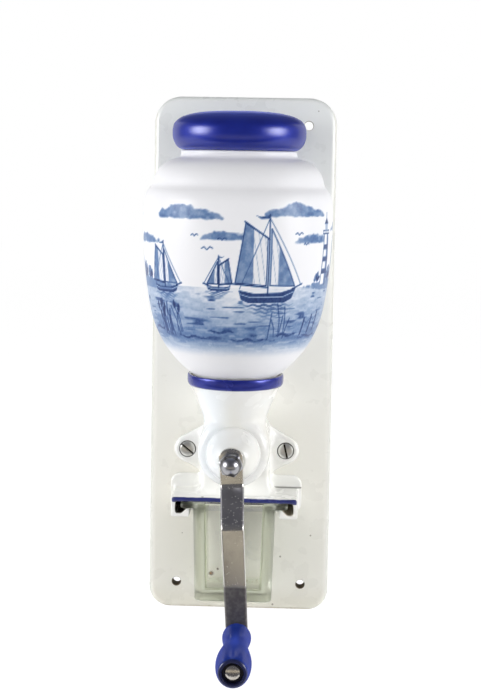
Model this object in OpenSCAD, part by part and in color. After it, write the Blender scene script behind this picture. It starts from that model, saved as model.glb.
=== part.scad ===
// Wall mounted coffee mill on a painted board: ceramic hopper, enamelled casting, crank and glass cup.
// The origin is the centre of the board's back face, on the wall. X is to the right, Y goes into the
// wall, Z is up, and the crank faces -Y. Depths named ..._d are measured from the board's front face.

/* [Back board] */
// Width of the board
board_w = 120; // [112:1:150]
// Height of the board
board_h = 342; // [336:1:400]
// Thickness of the board
board_t = 10; // [9:0.5:20]
// Radius of the board's lower corners
board_low_r = 14; // [8:1:24]
// Radius of the board's upper corners
board_high_r = 18; // [8:1:24]
// Radius that rounds the board's front edge
board_edge_r = 4; // [1:0.5:6]
// Diameter of the four wall screw holes
wall_hole_d = 6; // [4:0.5:8]
// Distance of the wall holes from the board's sides
wall_hole_side = 18.5; // [14:0.5:22]
// Distance of the wall holes from the board's top and bottom
wall_hole_end = 18; // [14:0.5:22]

/* [Layout] */
// How far the mill sits from the board's centre line
mill_x = -2.3; // [-4:0.1:4]
// Height of the crank shaft from the board's centre
shaft_z = -52; // [-60:0.5:-46]
// Depth of the hopper's upright axis
feed_d = 45; // [44:0.5:52]

/* [Hopper] */
// Radius of the hopper's belly
hopper_r = 59.3; // [56:0.1:62]
// Wall of the hopper
hopper_wall = 4.5; // [3:0.1:5]
// Radius of the foot that stands in the collar
foot_r = 24.5; // [22:0.1:26]
// Radius of the bowl's curve above the foot
bowl_r = 68; // [64:1:76]
// Radius of the side's slow curve above the bowl
side_r = 270; // [220:5:320]
// Slope of the side where it meets the bowl, in degrees
side_a = 11; // [8:0.5:14]
// Straight part of the belly
belly_h = 10.5; // [4:0.5:20]
// Inward reach of the rounded edge over the belly
crown_w = 5.5; // [5.2:0.1:9]
// Height of the rounded edge over the belly
crown_h = 13.5; // [8:0.5:20]
// Height of the rounded shoulder under the neck
shoulder_h = 18; // [12:0.1:22]
// Radius of the neck
neck_r = 36.2; // [33:0.1:38]
// Height of the neck
neck_h = 4.8; // [4:0.1:14]
// Radius of the bean outlet in the foot
outlet_r = 14; // [10:0.5:17]
// Height of the fixing screw over the foot
hopper_screw_h = 82; // [70:1:100]

/* [Lid] */
// Largest radius of the lid
lid_r = 41.9; // [40:0.1:43.5]
// Radius of the lid's seat on the neck
lid_seat_r = 34.5; // [33:0.1:36]
// Height of the lid over the neck
lid_h = 24.5; // [18:0.5:34]
// Height of the widest line over the seat
lid_bulge_h = 10.3; // [6:0.1:14]
// Squareness of the cushion curve, where 2 is an ellipse
lid_fullness = 2.6; // [2:0.1:4]
// Depth of the plug inside the neck
lid_plug_h = 8; // [4:0.5:14]
// Wall of the hollow plug
lid_plug_wall = 5; // [3:0.5:8]
// Height of the hollow above the seat
lid_hollow_h = 6; // [2:0.5:10]

/* [Collar and funnel] */
// Outer radius of the collar
collar_r = 30.4; // [29:0.1:33]
// Wall of the collar
collar_wall = 2.2; // [1.6:0.1:2.6]
// Height of the collar's top over the shaft
collar_rise = 47.5; // [46:0.5:54]
// Height of the collar's upright band
collar_band_h = 4.8; // [3:0.1:7]
// Height of the rounded edge under the band
collar_bead_h = 2.6; // [1:0.1:4]
// Inward reach of the rounded edge under the band
collar_bead_w = 2; // [1:0.1:3]
// Radius of the waist below the funnel
waist_r = 19.7; // [18.5:0.1:21]
// Height of the waist over the shaft
waist_rise = 19; // [16:0.5:22]
// Share of the flare's width left at the middle of its curve
flare_curve = 0.42; // [0.3:0.01:0.5]
// Depth of the hopper's seat below the collar's top
seat_depth = 4; // [3.5:0.1:6]
// Radius of the funnel's mouth at the seat
funnel_r = 20; // [17.5:0.5:21]
// Radius of the throat over the feed screw
throat_r = 12; // [10:0.5:12.5]
// Thickness of the gasket under the hopper's foot
gasket_t = 2; // [1:0.1:3]

/* [Drum] */
// Outer radius of the drum
drum_r = 22.9; // [22:0.1:25]
// Reach of the drum in front of the hopper's axis
drum_nose = 20; // [18:0.5:24]
// Radius that rounds the drum's front edge
drum_edge_r = 5.9; // [3:0.1:6.5]
// Radius of the grinding chamber
chamber_r = 15; // [14.2:0.1:15.8]
// Thickness of the drum's rear wall
rear_wall = 3.5; // [2.6:0.1:5]
// Radius of the rear bearing boss
rear_boss_r = 8.5; // [7:0.1:9.5]
// Reach of the rear bearing boss into the chamber
rear_boss_l = 5.5; // [4:0.5:7]

/* [Ears] */
// Sideways distance of the ear screws from the shaft
ear_x = 32.5; // [31:0.1:36]
// Drop of the ear screws below the shaft
ear_drop = 9.7; // [4:0.1:12]
// Radius of the ear's round end
ear_r = 9; // [8.6:0.1:10]
// Slope of the ears' straight sides, in degrees
ear_spread = 30.6; // [24:0.1:34]
// Length of the ears' straight sides, down to inside the drum
ear_side_l = 28; // [26:0.5:30]
// Thickness of the ears
ear_t = 6; // [5:0.1:8]
// Width of the step round the ears' front
ear_edge = 1.4; // [0.4:0.1:2]

/* [Shelf and runners] */
// Drop of the shelf's top below the shaft
shelf_drop = 35.5; // [33:0.1:40]
// Width of the shelf
shelf_w = 82; // [79:0.5:90]
// Depth of the shelf in front of the board
shelf_d = 35; // [33:0.5:40]
// Thickness of the shelf
shelf_t = 3.2; // [2.4:0.1:4.5]
// Corner radius at the shelf's front
shelf_corner_r = 3; // [1:0.5:5]
// Thickness of the runners' outer walls
runner_wall = 2.8; // [2:0.1:3.6]
// Height of the runners' slots
slot_h = 7.6; // [7:0.1:10]
// Width of the runners' lips, wall included
lip_w = 12; // [10:0.1:13]
// Thickness of the runners' lips
lip_t = 2.7; // [2:0.1:4]
// Height of the ridge along each lip's inner edge
ridge_h = 3.9; // [2:0.1:4.2]
// Width of the ridge's flat top
ridge_w = 1.4; // [1:0.1:2]
// Width of the chute under the drum
chute_w = 43.8; // [40:0.2:46]
// Depth of the chute's front wall
chute_d = 20; // [18:0.5:24]
// Wall of the chute
chute_wall = 4; // [3:0.1:5]
// Radius of the fillet where the chute meets the shelf
chute_fillet = 6.5; // [3:0.1:8]
// Width of the flange behind the runners
flange_w = 87.4; // [84:0.2:94]
// Height of the flange over the shelf
flange_rise = 9; // [4:0.5:12]
// Reach of the flange below the lips
flange_reach = 3; // [1:0.5:6]
// Thickness of the flange
flange_t = 2; // [1.4:0.1:2.6]
// Corner radius of the flange
flange_corner_r = 6; // [2:0.5:9]

/* [Bearing cap] */
// Height of the domed cap in front of the drum
cap_h = 22; // [18:0.5:26]
// Radius of the cap's flat nose
cap_nose_r = 8.5; // [8:0.1:10]
// Length of the cap's plug in the chamber
cap_plug_l = 6.5; // [5:0.1:7]
// Radius of the spring pocket inside the cap
pocket_r = 9.5; // [9:0.1:11]
// Length of the front bush
front_bush_l = 13; // [9:0.5:14]
// Wall of the bushes
bush_wall = 1.5; // [1:0.1:2]

/* [Burrs] */
// Length of the outer burr
ring_l = 15; // [13:0.5:16]
// Radius of the grinding gap at the coarse front end
gap_front_r = 8.5; // [7.8:0.1:9.4]
// Radius of the grinding gap at the fine rear end
gap_rear_r = 11.6; // [10.6:0.1:11.9]
// Clearance between the two burrs
burr_gap = 0.4; // [0.3:0.05:0.8]
// Number of teeth on the outer burr
ring_teeth = 16; // [12:1:20]
// Number of teeth on the inner burr
cone_teeth = 11; // [8:1:14]
// Depth of the teeth
tooth_h = 1.5; // [1:0.1:2]
// Share of the tooth spacing that the grooves take at their mouth
groove_share = 0.6; // [0.4:0.05:0.7]
// Slant of the teeth along the cone, in degrees
tooth_skew = 12; // [0:1:20]
// Radius of the feed screw's flights
screw_r = 11; // [9.5:0.1:12]
// Radius of the feed screw's core
screw_core_r = 7; // [6.6:0.1:7.6]
// Half width of the flights at their root
flight_w = 3; // [2:0.1:4]
// Turns of each of the two flights
screw_turns = 1.1; // [0.8:0.1:1.6]

/* [Shaft] */
// Radius of the shaft
shaft_r = 5; // [4.6:0.1:5.4]
// Radius of the shaft's rear journal
journal_r = 4; // [3.2:0.1:4.2]
// Radius of the stud that holds the cap nut
stud_r = 3.5; // [3:0.1:3.8]
// Side of the square that drives the crank
square_w = 7.8; // [7.7:0.05:8.2]
// Radius of the cross pins
pin_r = 1.5; // [1:0.1:1.8]
// Thickness of the thrust washer
washer_t = 1.2; // [0.8:0.1:1.6]
// Wire radius of the thrust spring
wire_r = 0.7; // [0.5:0.05:0.9]
// Turns of the thrust spring
spring_turns = 5; // [4:1:6]
// Thickness of the grind adjusting nut
adjuster_t = 4; // [3:0.1:5]
// Radius of the grind adjusting nut
adjuster_r = 7.2; // [6.9:0.1:7.6]

/* [Crank] */
// Distance of the knob's axis from the shaft
crank_r = 100; // [94:0.5:108]
// Angle of the resting crank from straight down
crank_lean = 3.3; // [0:0.1:6]
// Thickness of the crank bar
bar_t = 3; // [2.4:0.1:4]
// Width of the bar at the shaft
hub_w = 14.5; // [13:0.1:17]
// Width of the bar at the knob
arm_w = 13; // [11:0.1:14]
// Reach of the bar above the shaft
hub_end = 9.2; // [8.6:0.1:13]
// Radius of the bar's end above the shaft
hub_end_r = 8.2; // [7.8:0.1:14]
// Forward step of the bar between the hub and the knob
joggle = 17.5; // [16:0.1:22]
// Distance from the shaft to the start of the step
joggle_start = 12; // [9:0.5:20]
// Slope of the step, in degrees
joggle_a = 40; // [35:1:50]
// Bend radius at the middle of the bar's thickness
bend_r = 6; // [4:0.5:9]
// Width of the cap nut across its flats
nut_flats = 13; // [12:0.5:14]
// Height of the cap nut's hexagon
nut_h = 6.5; // [5:0.1:8]
// Height of the cap nut's dome
nut_dome_h = 6; // [4:0.1:7]
// Turn of the tightened cap nut on the crank, in degrees
nut_turn = 14.5; // [0:0.5:59]

/* [Knob] */
// Length of the knob
knob_l = 62; // [54:0.5:70]
// Radius of the knob's rim next to the crank
knob_rim_r = 8.6; // [7.8:0.1:9.4]
// Radius that rounds the rim
knob_rim_edge = 1.3; // [0.6:0.1:2]
// Distance of the knob's waist from the rim's end
knob_waist_l = 16; // [12:0.5:22]
// Radius of the knob's waist
knob_waist_r = 7.1; // [6:0.1:7.7]
// Radius of the knob's swell
swell_r = 10.2; // [9:0.1:12]
// Distance from the knob's free end to its widest line
swell_end = 15; // [12:0.5:18]
// Radius of the knob's flat free end
knob_tip_r = 7.3; // [6.8:0.1:7.8]
// Radius of the recess for the spindle's head
recess_r = 6.2; // [5:0.1:6.4]
// Depth of the recess for the spindle's head
recess_depth = 3.5; // [2.5:0.1:5]
// Radius of the knob's spindle
spindle_r = 3; // [2.4:0.1:3.4]
// Radius of the spindle's head
spindle_head_r = 4.4; // [4:0.1:4.8]
// Thickness of the spindle's head
spindle_head_t = 2.4; // [1.4:0.1:2.8]
// Thickness of the rivet head behind the crank
rivet_t = 1.2; // [0.8:0.1:1.6]
// Thickness of the washer behind the knob
knob_washer_t = 1; // [0.6:0.1:1.6]

/* [Glass cup] */
// Width of the cup under its rim
cup_w = 53.4; // [48:0.2:55]
// Depth of the cup from back to front
cup_depth = 33.5; // [30:0.5:36]
// Height of the cup
cup_h = 65; // [50:0.1:68]
// Inward slope of each side over the height
cup_draft = 1.7; // [0.4:0.1:2.4]
// Wall of the cup
cup_wall = 5.3; // [4:0.1:6]
// Thickness of the cup's floor
cup_floor = 6; // [4:0.1:8]
// Corner radius of the cup
cup_corner_r = 5; // [3:0.5:8]
// Thickness of the cup's side flanges
cup_flange_t = 3.2; // [2.4:0.1:3.4]
// Reach of each flange beyond the cup's side
cup_flange_w = 8; // [6:0.1:9]

/* [Screws] */
// Head radius of the ear screws
ear_head_r = 5; // [4.4:0.1:5.4]
// Shank radius of the wood screws
shank_r = 2.1; // [1.6:0.1:2.4]
// Rise of the ear screws' rounded heads
ear_head_rise = 1; // [0.4:0.1:1.6]
// Width of the ear screws' slots
slot_w = 1.4; // [0.8:0.1:1.8]
// Depth of the ear screws' slots
slot_depth = 1.6; // [1:0.1:2]
// Head radius of the hopper's screw
hopper_head_r = 4.4; // [4:0.1:5.4]
// Head height of the hopper's screw
hopper_head_h = 3; // [2:0.1:4]
// Thickness of the washer on the hopper's screw
hopper_washer_t = 1.5; // [0.8:0.1:2]
// Wood left behind the tip of each wood screw
tip_wood = 1.5; // [1:0.1:4]

/* [Fits] */
// Radial clearance of turning fits
run_fit = 0.05; // [0.02:0.01:0.08]
// Radial clearance of pieces that are pressed or screwed together
press_fit = 0.02; // [0.01:0.01:0.04]
// Radial clearance of the lid's plug in the neck
lid_fit = 0.6; // [0.4:0.1:1.2]
// End clearance beside turning pieces
end_gap = 0.3; // [0.2:0.05:0.5]
// Clearance around the ear screws' heads
head_gap = 0.8; // [0.4:0.1:1.2]

/* [Hidden] */
$fn = 72;

// Overlap that carries a cut clear of the faces it goes through
over = 1;
// Size of the half space in front of the board
reach = 1000;
// Share of a round end's radius at which straight sides meet it
tuck = 0.99;

// Hopper heights from its foot
side_end_r = hopper_r - side_r * (1 - cos(side_a));
bowl_x = side_end_r - bowl_r * cos(side_a);
bowl_z = bowl_r * sin(acos((foot_r - bowl_x) / bowl_r));
belly_z = bowl_z - bowl_r * sin(side_a) + side_r * sin(side_a);
crown_z = belly_z + belly_h;
shoulder_z = crown_z + crown_h;
shoulder_w = hopper_r - crown_w - neck_r;
neck_z = shoulder_z + shoulder_h;
hopper_h = neck_z + neck_h;

// Places along the height
collar_z = shaft_z + collar_rise;
hopper_z = collar_z - seat_depth + gasket_t;
lid_z = hopper_z + hopper_h;
plug_r = neck_r - hopper_wall - lid_fit;
shelf_z = shaft_z - shelf_drop;
slot_z = shelf_z - shelf_t - slot_h;
cup_z = slot_z + ridge_h + cup_flange_t - cup_h;

// Places along the shaft
drum_d = feed_d + drum_nose;
boss_d = rear_wall + rear_boss_l;
journal_d = rear_wall - bush_wall;
cone_d = boss_d + end_gap;
cone_l = ring_l;
feed_start_d = cone_d + cone_l;
plug_d = drum_d - cap_plug_l;
feed_end_d = plug_d - end_gap;
spring_d = feed_end_d + washer_t;
nose_d = drum_d + cap_h;
pocket_d = nose_d - front_bush_l;
adjuster_d = nose_d + end_gap;
hub_d = adjuster_d + adjuster_t + end_gap;
nut_d = hub_d + bar_t;
arm_d = hub_d + joggle;
knob_washer_d = arm_d + bar_t;
knob_d = knob_washer_d + knob_washer_t + end_gap;
cap_r = drum_r - drum_edge_r;
cap_curve = cap_h / sqrt(1 - pow(cap_nose_r / cap_r, 2));
spring_r = shaft_r + run_fit + wire_r + end_gap;
nut_bore_l = nut_h + nut_dome_h / 2;

// Step of the crank bar from one straight to the other
joggle_l = 2 * bend_r * sin(joggle_a) + (joggle - 2 * bend_r * (1 - cos(joggle_a))) / tan(joggle_a);

// Places of the cup
cup_back_d = flange_t + end_gap;

// Points of an elliptic arc about (cx, cy), from angle a0 to a1
function arc(cx, cy, rx, ry, a0, a1, n) =
    [for (i = [0:n]) let (a = a0 + (a1 - a0) * i / n) [cx + rx * cos(a), cy + ry * sin(a)]];

// Points of a quadratic curve through p0 and p2, drawn towards p1
function curve(p0, p1, p2, n) =
    [for (i = [0:n]) let (t = i / n) (1 - t) * (1 - t) * p0 + 2 * t * (1 - t) * p1 + t * t * p2];

// Points after the first of a line that eases from radius r0 at height z0 to r1 at z1
function eased(r0, z0, r1, z1, n) =
    [for (i = [1:n]) let (t = i / n) [r0 + (r1 - r0) * (1 - cos(180 * t)) / 2, z0 + (z1 - z0) * t]];

// Points of a quarter superellipse from the side to the top
function cushion(rx, ry, p, n) =
    [for (i = [0:n]) let (a = 90 * i / n) [rx * pow(cos(a), 2 / p), ry * pow(sin(a), 2 / p)]];

// Half outline of the hopper, drawn in by a wall
function hopper_outline(wall) = concat(
    [[0, wall]],
    arc(bowl_x, bowl_z, bowl_r - wall, bowl_r - wall, -asin((bowl_z - wall) / (bowl_r - wall)), -side_a, 9),
    arc(hopper_r - side_r, belly_z, side_r - wall, side_r - wall, -side_a * 2 / 3, 0, 2),
    arc(hopper_r - crown_w, crown_z, crown_w - wall, crown_h - wall, 0, 90, 4),
    arc(neck_r, shoulder_z, shoulder_w - wall, shoulder_h - wall, 0, 90, 6),
    wall > 0 ? [[neck_r - wall, neck_z - wall]] : [],
    [[neck_r - wall, hopper_h + (wall > 0 ? over : 0)], [0, hopper_h + (wall > 0 ? over : 0)]]);

// Frame of the shaft: X to the right, Y up, Z out of the board
module on_shaft(d = 0) translate([mill_x, -board_t - d, shaft_z]) rotate([90, 0, 0]) children();

// Frame of the hopper's upright axis
module on_feed(z) translate([mill_x, -board_t - feed_d, z]) children();

// Frame of the resting crank, in which the bar runs along -Y
module on_crank(d = 0) on_shaft(d) rotate([0, 0, crank_lean]) children();

// Frame of the knob's axis
module on_knob(d) on_crank(d) translate([0, -crank_r, 0]) children();

// Frame of a wall or wood screw at (x, z), pointing out of the board
module on_board(x, z) translate([x, -board_t, z]) rotate([90, 0, 0]) children();

// All the space that lies more than a gap in front of the board
module before_board(gap) translate([-reach, -board_t - gap - reach, -reach]) cube([2 * reach, reach, 2 * reach]);

// Round bore or rod from depth d0 to d1 on the current axis
module rod(r, d0, d1) translate([0, 0, d0]) cylinder(r = r, h = d1 - d0);

// Plate of two round ends joined by sides that cross them just inside their outer tangents
module link_plate(c0, r0, c1, r1, t) {
    span = c1 - c0;
    turn = atan2(span[1], span[0]);
    lean = acos((r0 - r1) / norm(span));
    translate(c0) cylinder(r = r0, h = t);
    translate(c1) cylinder(r = r1, h = t);
    linear_extrude(t) polygon([for (end = [[c0, r0, 1], [c1, r1, 1], [c1, r1, -1], [c0, r0, -1]])
        end[0] + tuck * end[1] * [cos(turn + end[2] * lean), sin(turn + end[2] * lean)]]);
}

// Rectangle with round corners, centred on the origin
module round_rect(w, h, r) {
    square([w - 2 * r, h], center = true);
    square([w, h - 2 * r], center = true);
    for (x = [-1, 1], y = [-1, 1]) translate([x * (w / 2 - r), y * (h / 2 - r)]) circle(r);
}

// Slab with one rounded face and its own corner radius at each end, standing on the origin
module soft_slab(w, h, t, low_r, high_r, edge) {
    side = concat([[w / 2, 0]], arc(w / 2 - edge, t - edge, edge, edge, 0, 90, 6));
    translate([0, (low_r - high_r) / 2, 0]) rotate([90, 0, 0]) linear_extrude(h - low_r - high_r, center = true)
        polygon(concat(side, [for (i = [len(side) - 1:-1:0]) [-side[i][0], side[i][1]]]));
    for (end = [[-1, low_r], [1, high_r]]) {
        r = end[1];
        rim = concat([[0, 0], [r, 0]], arc(r - edge, t - edge, edge, edge, 0, 90, 6), [[0, t]]);
        for (x = [-1, 1]) translate([x * (w / 2 - r), end[0] * (h / 2 - r), 0]) rotate_extrude() polygon(rim);
        rotate([90, 0, 90]) linear_extrude(w - 2 * r, center = true)
            polygon([for (p = rim) [end[0] * (p[0] > 0 ? p[0] + h / 2 - r : 0), p[1]]]);
    }
}

// Rounded upright block that narrows downwards, from z = 0 to the given height
module drafted_block(w, d, h, r, draft) {
    hull() for (x = [-1, 1], y = [-1, 1]) {
        translate([x * (w / 2 - r), y * (d / 2 - r), h]) mirror([0, 0, 1]) cylinder(r = r, h = 0.01, $fn = 32);
        translate([x * (w / 2 - draft - r), y * (d / 2 - draft - r), 0]) cylinder(r = r, h = 0.01, $fn = 32);
    }
}

// Hollow cylinder between two depths
module sleeve(r_in, r_out, d0, d1) difference() {
    rod(r_out, d0, d1);
    rod(r_in, d0 - over, d1 + over);
}

// Radius of the grinding gap at a distance along the burrs from the rear
function gap_r(d) = gap_rear_r + (gap_front_r - gap_rear_r) * d / ring_l;

// Angle of the burrs' cone
burr_a = atan2(gap_rear_r - gap_front_r, ring_l);

// Row of slanted V grooves on a cone of the burrs' slope, cut inwards or outwards
module grooves(count, r, inwards) {
    half = groove_share * PI * r / count;
    tip = inwards ? -tooth_h : tooth_h;
    mouth = -sign(tip) * tooth_h / 2;
    for (i = [0:count - 1]) rotate([0, 0, i * 360 / count]) translate([r, 0, ring_l / 2])
        rotate([0, -burr_a, 0]) rotate([tooth_skew, 0, 0]) linear_extrude(2 * ring_l, center = true)
        polygon([[mouth, -half], [tip, 0], [mouth, half]]);
}

// Slotted wood screw with a raised countersunk head, its head's rim at z = 0
module slotted_screw(head, shank, length, turn) {
    sink = head - shank;
    difference() {
        rotate_extrude() polygon(concat(
            [[0, -length], [shank, -length + shank], [shank, -sink], [head, 0]],
            arc(0, 0, head, ear_head_rise, 15, 90, 5)));
        rotate([0, 0, turn]) translate([-reach / 2, -slot_w / 2, ear_head_rise - slot_depth])
            cube([reach, slot_w, slot_depth + over]);
    }
}

// Painted board with its wall holes and the pilot holes of the wood screws
module back_board() color("beige") difference() {
    rotate([90, 0, 0]) soft_slab(board_w, board_h, board_t, board_low_r, board_high_r, board_edge_r);
    for (x = [-1, 1], z = [-1, 1])
        on_board(x * (board_w / 2 - wall_hole_side), z * (board_h / 2 - wall_hole_end))
            rod(wall_hole_d / 2, -board_t - over, over);
    for (side = [-1, 1]) on_board(mill_x + side * ear_x, shaft_z - ear_drop)
        rod(shank_r + press_fit, -board_t + tip_wood, over);
    on_board(mill_x, hopper_z + hopper_screw_h) rod(shank_r + press_fit, -board_t + tip_wood, over);
}

// Ceramic bean jar, cut flat where it lies against the board
module hopper() color("white") difference() {
    intersection() {
        on_feed(hopper_z) rotate_extrude() polygon(hopper_outline(0));
        before_board(0);
    }
    intersection() {
        on_feed(hopper_z) rotate_extrude() polygon(hopper_outline(hopper_wall));
        before_board(hopper_wall);
    }
    on_feed(hopper_z) rod(outlet_r, -over, hopper_wall + over);
    on_board(mill_x, hopper_z + hopper_screw_h) rod(shank_r + head_gap, -over, hopper_wall + over);
}

// Cork ring between the hopper's foot and the casting
module hopper_gasket() color("peru") on_feed(collar_z - seat_depth) sleeve(funnel_r, foot_r, 0, gasket_t);

// Round headed screw that holds the hopper's back to the board
module hopper_screw() color("silver") on_board(mill_x, hopper_z + hopper_screw_h) {
    top = hopper_wall + hopper_washer_t;
    difference() {
        rotate_extrude() polygon(concat(
            [[0, tip_wood - board_t], [shank_r, tip_wood + shank_r - board_t], [shank_r, top], [hopper_head_r, top]],
            arc(0, top, hopper_head_r, hopper_head_h, 15, 90, 5)));
        translate([-reach / 2, -slot_w / 2, top + hopper_head_h - slot_depth]) cube([reach, slot_w, slot_depth + over]);
    }
}

// Fibre washer under that screw's head
module hopper_washer() color("saddlebrown") on_board(mill_x, hopper_z + hopper_screw_h)
    sleeve(shank_r + press_fit, hopper_head_r + hopper_washer_t, hopper_wall, hopper_wall + hopper_washer_t);

// Turned cushion lid with a hollow plug that enters the neck
module hopper_lid() color("midnightblue") on_feed(lid_z) rotate_extrude() polygon(concat(
    [[0, lid_hollow_h], [plug_r - lid_plug_wall, lid_hollow_h], [plug_r - lid_plug_wall, -lid_plug_h],
        [plug_r, -lid_plug_h], [plug_r, 0]],
    arc(lid_seat_r, lid_bulge_h, lid_r - lid_seat_r, lid_bulge_h, -90, 0, 5),
    [for (p = cushion(lid_r, lid_h - lid_bulge_h, lid_fullness, 12)) if (p[1] > 0) p + [0, lid_bulge_h]]));

// Outside of the collar, flare and waist, from the collar's top down to the shaft
module funnel_outside() {
    bead_z = -collar_band_h - collar_bead_h;
    bead_r = collar_r - collar_bead_w;
    waist_z = waist_rise - collar_rise;
    bend = [waist_r + flare_curve * (bead_r - waist_r), (bead_z + waist_z) / 2];
    on_feed(collar_z) rotate_extrude() polygon(concat(
        [[0, 0], [collar_r, 0]],
        arc(bead_r, -collar_band_h, collar_bead_w, collar_bead_h, 0, -90, 4),
        curve([bead_r, bead_z], bend, [waist_r, waist_z], 6),
        [[waist_r, -collar_rise], [0, -collar_rise]]));
}

// Bean path from the hopper's seat down into the chamber
module funnel_inside() on_feed(collar_z) rotate_extrude() polygon([[0, over], [collar_r - collar_wall, over],
    [collar_r - collar_wall, -seat_depth], [funnel_r, -seat_depth], [throat_r, waist_rise - collar_rise],
    [throat_r, -collar_rise], [0, -collar_rise]]);

// Drum around the shaft with its rounded front edge
module drum_outside() on_shaft() rotate_extrude() polygon(concat(
    [[0, 0], [drum_r, 0]],
    arc(drum_r - drum_edge_r, drum_d - drum_edge_r, drum_edge_r, drum_edge_r, 0, 90, 6),
    [[0, drum_d]]));

// Grinding chamber with the rear bearing boss left standing
module drum_inside() on_shaft() {
    difference() {
        rod(chamber_r, rear_wall, drum_d + over);
        rod(rear_boss_r, 0, boss_d);
    }
    rod(journal_r + run_fit + bush_wall, journal_d, boss_d + over);
}

// One ear from its round end to inside the drum, with straight sides that spread
module ear_plate(r, t) {
    tip = tuck * r * [sin(ear_spread), cos(ear_spread)];
    root = tip + ear_side_l * [-cos(ear_spread), sin(ear_spread)];
    cylinder(r = r, h = t);
    linear_extrude(t) polygon([tip, root, [root[0], -root[1]], [tip[0], -tip[1]]]);
}

// Ears that take the two screws, with a stepped front edge
module ears() on_shaft() for (side = [0, 1]) mirror([side, 0, 0]) translate([ear_x, -ear_drop, 0]) {
    ear_plate(ear_r, ear_t - ear_edge);
    ear_plate(ear_r - ear_edge, ear_t);
}

// Screw holes through the ears, sunk for the heads
module ear_holes() for (side = [-1, 1]) on_board(mill_x + side * ear_x, shaft_z - ear_drop) {
    rod(shank_r + head_gap, -over, ear_t + over);
    sunk = ear_head_r - shank_r;
    translate([0, 0, ear_t - sunk]) cylinder(r1 = shank_r + head_gap, r2 = ear_head_r + head_gap, h = sunk);
    rod(ear_head_r + head_gap, ear_t, ear_t + over);
}

// Block under the drum, flared into the shelf at its sides and front
module chute_outside() {
    w = chute_w / 2;
    foot = chute_fillet - shelf_drop;
    flare = arc(w + chute_fillet, foot, chute_fillet, chute_fillet, 180, 270, 6);
    on_shaft() linear_extrude(chute_d) polygon(concat([[-w, 0], [w, 0]], flare,
        [for (i = [len(flare) - 1:-1:0]) [-flare[i][0], flare[i][1]]]));
    translate([mill_x - w, -board_t, shaft_z]) rotate([90, 0, 90]) linear_extrude(chute_w)
        polygon(concat([[-chute_d, -shelf_drop]],
            arc(-chute_d - chute_fillet, foot, chute_fillet, chute_fillet, 0, -90, 6)));
}

// Path of the ground coffee from the chamber's rear down through the shelf
module chute_inside() {
    half = chute_w / 2 - 2 * chute_wall;
    translate([mill_x - half, -board_t - chute_d + chute_wall, shelf_z - shelf_t - over])
        cube([2 * half, chute_d - chute_wall - rear_wall, shelf_drop + shelf_t + over]);
}

// Shelf with its round front corners
module shelf() translate([mill_x, -board_t, shelf_z - shelf_t]) linear_extrude(shelf_t) {
    translate([-shelf_w / 2, shelf_corner_r - shelf_d]) square([shelf_w, shelf_d - shelf_corner_r]);
    translate([shelf_corner_r - shelf_w / 2, -shelf_d]) square([shelf_w - 2 * shelf_corner_r, shelf_d]);
    for (side = [-1, 1]) translate([side * (shelf_w / 2 - shelf_corner_r), shelf_corner_r - shelf_d]) circle(shelf_corner_r);
}

// L shaped runners, with a ridge on each lip that carries the cup's flange
module runners() {
    bottom = -shelf_t - slot_h - lip_t;
    top = bottom + lip_t;
    on_board(mill_x, shelf_z) for (side = [0, 1]) mirror([side, 0, 0]) linear_extrude(shelf_d - shelf_corner_r / 2)
        translate([shelf_w / 2, 0]) polygon([[0, -shelf_t / 2], [0, bottom], [-lip_w, bottom], [-lip_w, top + ridge_h],
            [ridge_w - lip_w, top + ridge_h], [ridge_w + ridge_h - lip_w, top], [-runner_wall, top],
            [-runner_wall, -shelf_t / 2]]);
}

// Thin flange against the board behind the shelf and runners
module back_flange() {
    h = flange_rise + shelf_t + slot_h + lip_t + flange_reach;
    on_board(mill_x, shelf_z + flange_rise - h / 2) linear_extrude(flange_t) round_rect(flange_w, h, flange_corner_r);
}

// One white enamelled casting: collar, funnel, drum, ears, chute, shelf and runners
module mill_body() color("whitesmoke") difference() {
    union() {
        funnel_outside();
        drum_outside();
        ears();
        chute_outside();
        shelf();
        runners();
        back_flange();
    }
    funnel_inside();
    drum_inside();
    chute_inside();
    ear_holes();
}

// Two slotted screws that hold the casting to the board
module body_screws() color("darkgray") for (ear = [[-1, -39], [1, -77]])
    on_board(mill_x + ear[0] * ear_x, shaft_z - ear_drop) translate([0, 0, ear_t])
        slotted_screw(ear_head_r, shank_r, ear_t + board_t - tip_wood, ear[1]);

// Domed cap that closes the drum and carries the front bush
module front_cap() color("whitesmoke") on_shaft() difference() {
    rotate_extrude() polygon(concat(
        [[0, plug_d], [chamber_r - press_fit, plug_d], [chamber_r - press_fit, drum_d]],
        [for (p = arc(0, drum_d, cap_r, cap_curve, 0, asin(cap_h / cap_curve), 8)) p],
        [[0, nose_d]]));
    rod(pocket_r, plug_d - over, pocket_d);
    rod(shaft_r + run_fit + bush_wall, plug_d, nose_d + over);
}

// Bronze bush in the cap
module front_bush() color("goldenrod") on_shaft()
    sleeve(shaft_r + run_fit, shaft_r + run_fit + bush_wall - press_fit, pocket_d, nose_d);

// Bronze bush in the rear boss
module rear_bush() color("goldenrod") on_shaft()
    sleeve(journal_r + run_fit, journal_r + run_fit + bush_wall - press_fit, journal_d, boss_d);

// Fixed burr: a ring whose toothed cone narrows towards the beans
module outer_burr() color("dimgray") on_shaft(cone_d) difference() {
    rod(chamber_r - press_fit, 0, ring_l);
    translate([0, 0, -over]) cylinder(r1 = gap_r(-over) + burr_gap, r2 = gap_r(ring_l + over) + burr_gap, h = ring_l + 2 * over);
    grooves(ring_teeth, gap_r(ring_l / 2) + burr_gap, false);
}

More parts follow.
